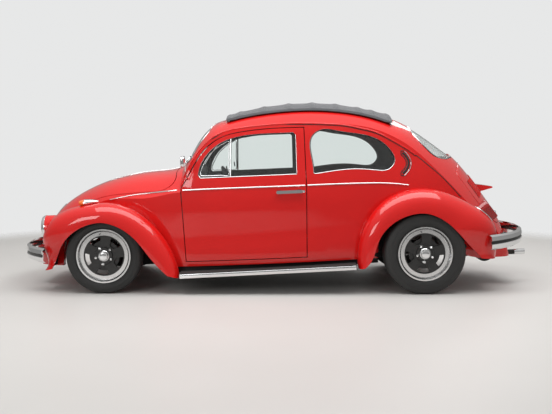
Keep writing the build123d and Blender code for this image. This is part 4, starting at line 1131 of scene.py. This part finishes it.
# ------------------------------------------------------------------ linings and cabin
def reveal(box, axis, steep, margins):
    """A test for the faces round an opening: near its box, square to its pane and turned to its middle."""
    lo, hi = (Vector(corner) for corner in box)
    centre = (lo + hi) / 2

    def wanted(p, n):
        near = all(lo[i] - margins[i] < p[i] < hi[i] + margins[i] for i in range(3))
        return near and abs(n["xyz".index(axis)]) < steep and n.dot(centre - p) > 0
    return wanted


def quarter_boxes():
    """The two rear side windows' boxes, one for each side, wide enough for their reveals."""
    boxes = []
    for side in (LEFT, RIGHT):
        points = [v.co for v in nodes["quarter_windows"].data.vertices if v.co.x * side > 0]
        lo, hi = (Vector([end(p[i] for p in points) for i in range(3)]) for end in (min, max))
        middle = (lo.x + hi.x) / 2
        lo.x, hi.x = middle - 0.12, middle + 0.12
        boxes.append((lo, hi))
    return boxes


def cabin_linings():
    """Dark linings on the cabin's inner faces, its floor and the windows' reveals."""
    middle = Vector((0, 0.22, 0.72))

    def cabin_face(p, n, low, high):
        inward = n.dot((middle - p).normalized())
        return low < p.z < high and -0.66 < p.y < 1.12 and inward > 0.30 and abs(p.x) < 0.68

    skin("headlining", ["body_shell"], lambda p, n: cabin_face(p, n, 0.93, 1.5), LINING)
    skin("side_lining", ["body_shell"], lambda p, n: cabin_face(p, n, 0.30, 0.93), DOOR_VINYL)
    skin("floor_carpet", ["floor_pan"], lambda p, n: n.z > 0.3 and abs(p.x) < 0.58 and -0.74 < p.y < 0.60
         and p.z > 0.12, CARPET)
    for side, hand in ((LEFT, "left"), (RIGHT, "right")):
        door_lining(side, hand)
    sides = [reveal(box, "x", 0.5, (0, 0.014, 0.014)) for box in quarter_boxes()]
    skin("quarter_reveals", ["body_shell"], lambda p, n: any(test(p, n) for test in sides), LINING, lift=0.001)
    ends = [reveal(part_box(name), "y", 0.4, (0.014, 0.09, 0.014)) for name in ("windscreen", "rear_window")]
    skin("screen_reveals", ["body_shell"], lambda p, n: any(test(p, n) for test in ends), LINING, lift=0.001)


def door_lining(side, hand):
    """A door's inner card with its pull and window crank."""
    door = f"door_{hand}"
    round_glass = reveal(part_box(f"door_glass_{hand}"), "x", 0.5, (1, 0.012, 0.012))
    skin(f"door_card_{hand}", [door], lambda p, n: n.x * side < -0.45 or round_glass(p, n), DOOR_VINYL, door)
    pull = smooth_line([at(side * 596, -60, 800), at(side * 572, -30, 806), at(side * 570, 120, 806),
                        at(side * 596, 150, 800)], 0.02)
    bar(f"door_pull_{hand}", SATIN, pull, 9, door)
    settle(disc(at(side * 592, -235, 720), 19, 22, (side, 0, 0), 3, 32), f"window_crank_{hand}", CHROME, door)
    arm = [at(side * 582, -235, 720), at(side * 577, -200, 688), at(side * 572, -172, 664)]
    bar(f"window_crank_arm_{hand}", CHROME, arm, 5, door)


def arch_liners(hub, end, reach):
    """Underseal inside a pair of fenders and on the shell's wheel wells."""
    def arm_to_hub(p):
        return Vector((0, hub.y - p.y, hub.z - p.z))

    def arch_face(p, n):
        arm = arm_to_hub(p)
        return arm.length < reach + 0.05 and n.dot(arm.normalized()) > 0.12 and p.z > 0.12

    def well_face(p, n):
        arm = arm_to_hub(p)
        turned_out = n.x * p.x > 0.35 * abs(p.x) or n.dot(arm.normalized()) > 0.25
        return arm.length < reach - 0.075 and abs(p.x) > 0.34 and turned_out

    skin(f"arch_liner_{end}", [f"{end}_fenders"], arch_face, UNDERSEAL, lift=0.0012)
    skin(f"wheel_well_{end}", ["body_shell"], well_face, UNDERSEAL, lift=0.0012)


def dials():
    """Two dials in bright rings."""
    for number, (x, radius) in enumerate(((330, 58), (190, 34)), 1):
        centre = at(x, -489.5, 945)
        ring = lathe([(-0.002, (radius - 6) / 1000), (0.004, (radius - 6) / 1000), (0.007, (radius - 2) / 1000),
                      (0.005, (radius + 1) / 1000), (-0.002, (radius + 1) / 1000)], centre, along(0, 1, 0), 48)
        settle(ring, f"dial_ring_{number}", CHROME)
        face = disc(at(x, -488.5, 945), radius - 6, 4, along(0, 1, 0), 0.8, 48)
        settle(face, f"dial_face_{number}", dial_finish(f"dial {number}", centre))


def dial_finish(name, centre):
    """A black dial with pale ticks round it."""
    dial = Finish(name)
    x, _, z = dial.axes()
    dx, dz = x - centre.x, z - centre.z
    radius = (dx * dx + dz * dz).root()
    turn = dial.add("ShaderNodeMath", {"operation": "ARCTAN2"}, {0: dz, 1: dx})
    ticks = ((turn * 12).wave() > 0.90) * (radius > 0.021) * (radius < 0.047)
    return dial.surface(Base_Color=dial.mix(ticks, grey(0.012), grey(0.70)),
                        Roughness=0.32 + 0.1 * dial.noise(60, 2))


def controls():
    """Horn button, levers and inside mirror."""
    slope = along(0, math.cos(COLUMN_RISE), math.sin(COLUMN_RISE))
    button = disc(at(330, -220, 850) - slope * 0.004, 30, 26, slope, 7, 40)
    settle(button, "horn_button", CHROME, "steering_wheel")
    lever = smooth_line([at(0, -180, 380), at(0, -150, 480), at(0, -176, 600), at(0, -180, 640)], 0.02)
    bar("gear_lever", CHROME, lever, 6.5)
    knob = lathe([(-0.022, 0.0), (-0.022, 0.011), (-0.012, 0.018), (0.0, 0.021), (0.012, 0.018), (0.021, 0.009),
                  (0.023, 0.0)], at(0, -180, 655), along(0, 0, 1), 32)
    settle(knob, "gear_knob", SATIN)
    boot = lathe([(0.0, 0.052), (0.012, 0.050), (0.020, 0.036), (0.034, 0.032), (0.042, 0.020), (0.070, 0.0085),
                  (0.070, 0.0070), (0.0, 0.046)], at(0, -181, 372), along(0, 0, 1), 36)
    settle(boot, "gear_boot", SEAL)
    brake = smooth_line([at(0, 40, 385), at(0, 10, 410), at(0, -60, 470), at(0, -84, 492)], 0.02)
    bar("brake_lever", SATIN, brake, 9)
    stalk = smooth_line([at(0, -316, 1318), at(0, -322, 1296), at(0, -318, 1284)], 0.02)
    bar("inside_mirror_stalk", CHROME, stalk, 5)
    mirror = block(0, -310, 1268, 190, 14, 52, 6.5, 12)
    settle(mirror, "inside_mirror", SATIN)


window_trims()
vent_windows()
side_trims()
board_edges()
door_fittings()
hood_trims()
wipers()
lid_trims()
for lamp_side, lamp_hand in ((LEFT, "left"), (RIGHT, "right")):
    headlamp(lamp_side, lamp_hand)
    tail_lamp_frame(lamp_side, lamp_hand)
    tailpipe_tip(lamp_side, lamp_hand)
cabin_linings()
arch_liners(FRONT_HUB, "front", 0.42)
arch_liners(REAR_HUB, "rear", 0.43)
dials()
controls()


# ------------------------------------------------------------------ stage
def studio():
    """A pale round floor that fades into a pale room, with soft lamps."""
    floor = fresh(bpy.ops.mesh.primitive_circle_add, vertices=96, radius=9.0, fill_type="NGON", location=(0, 0, 0))
    floor.name = "studio_floor"
    tone = Finish("studio floor")
    wide = tone.noise(0.7, 3)
    x, y, _ = tone.axes()
    reach = (x * x + y * y).root()
    base = tone.mix(wide, (0.56, 0.545, 0.525, 1), (0.61, 0.595, 0.575, 1))
    shader = tone.add("ShaderNodeBsdfPrincipled", {}, {"Base Color": base, "Roughness": 0.42 + 0.1 * wide})
    clear = tone.add("ShaderNodeBsdfTransparent")
    node = tone.tree.nodes.new("ShaderNodeMixShader")
    tone.tree.links.new(reach.between(3.9, 4.9).socket, node.inputs[0])
    tone.tree.links.new(shader.socket, node.inputs[1])
    tone.tree.links.new(clear.socket, node.inputs[2])
    tone.add_output(Value(tone, node.outputs[0]))
    floor.data.materials.append(tone.material)

    world = bpy.data.worlds.new("studio room")
    bpy.context.scene.world = world
    world.use_nodes = True
    tree = world.node_tree
    tree.nodes.clear()
    path = tree.nodes.new("ShaderNodeLightPath")
    seen = tree.nodes.new("ShaderNodeMath")
    seen.operation = "MAXIMUM"
    tree.links.new(path.outputs["Is Camera Ray"], seen.inputs[0])
    tree.links.new(path.outputs["Is Transmission Ray"], seen.inputs[1])
    where = tree.nodes.new("ShaderNodeTexCoord")
    split = tree.nodes.new("ShaderNodeSeparateXYZ")
    tree.links.new(where.outputs["Generated"], split.inputs[0])
    rise = tree.nodes.new("ShaderNodeValToRGB")
    for element, (position, level) in zip((rise.color_ramp.elements[0], rise.color_ramp.elements[1],
                                           rise.color_ramp.elements.new(0.55)),
                                          ((0.0, 0.30), (1.0, 0.95), (0.5, 0.55))):
        element.position = position
        element.color = (level, level * 0.99, level * 0.97, 1)
    lift = tree.nodes.new("ShaderNodeMapRange")
    lift.inputs["From Min"].default_value = -0.2
    lift.inputs["From Max"].default_value = 1.0
    tree.links.new(split.outputs[2], lift.inputs["Value"])
    tree.links.new(lift.outputs[0], rise.inputs[0])
    room = tree.nodes.new("ShaderNodeBackground")
    tree.links.new(rise.outputs[0], room.inputs[0])
    room.inputs[1].default_value = 0.75
    wall = tree.nodes.new("ShaderNodeBackground")
    wall.inputs[0].default_value = (0.80, 0.805, 0.805, 1)
    mix = tree.nodes.new("ShaderNodeMixShader")
    out = tree.nodes.new("ShaderNodeOutputWorld")
    tree.links.new(seen.outputs[0], mix.inputs[0])
    tree.links.new(room.outputs[0], mix.inputs[1])
    tree.links.new(wall.outputs[0], mix.inputs[2])
    tree.links.new(mix.outputs[0], out.inputs[0])

    def softbox(name, place, aim, size, watts):
        data = bpy.data.lights.new(name, "AREA")
        data.shape = "RECTANGLE"
        data.size, data.size_y = size
        data.energy = watts
        lamp = bpy.data.objects.new(name, data)
        bpy.context.scene.collection.objects.link(lamp)
        lamp.location = place
        lamp.rotation_euler = (Vector(aim) - Vector(place)).to_track_quat("-Z", "Y").to_euler()

    softbox("ceiling box", (1.2, 0.2, 4.2), (0.2, 0.1, 0.6), (5.6, 3.0), 210)
    softbox("side box", (6.2, -3.6, 2.6), (0, 0, 0.7), (2.2, 1.6), 70)
    softbox("far box", (-4.6, 1.0, 3.6), (0, 0, 0.8), (4.5, 1.6), 80)


def portrait_camera():
    data = bpy.data.cameras.new("portrait")
    data.lens = 55.3
    data.sensor_width = 36
    camera = bpy.data.objects.new("portrait", data)
    bpy.context.scene.collection.objects.link(camera)
    camera.location = (7.0, 0.014, 1.1645)
    camera.rotation_euler = (math.radians(90 - 4.65), 0, math.radians(90))
    bpy.context.scene.camera = camera


studio()
portrait_camera()
bpy.context.scene.view_settings.view_transform = "Standard"
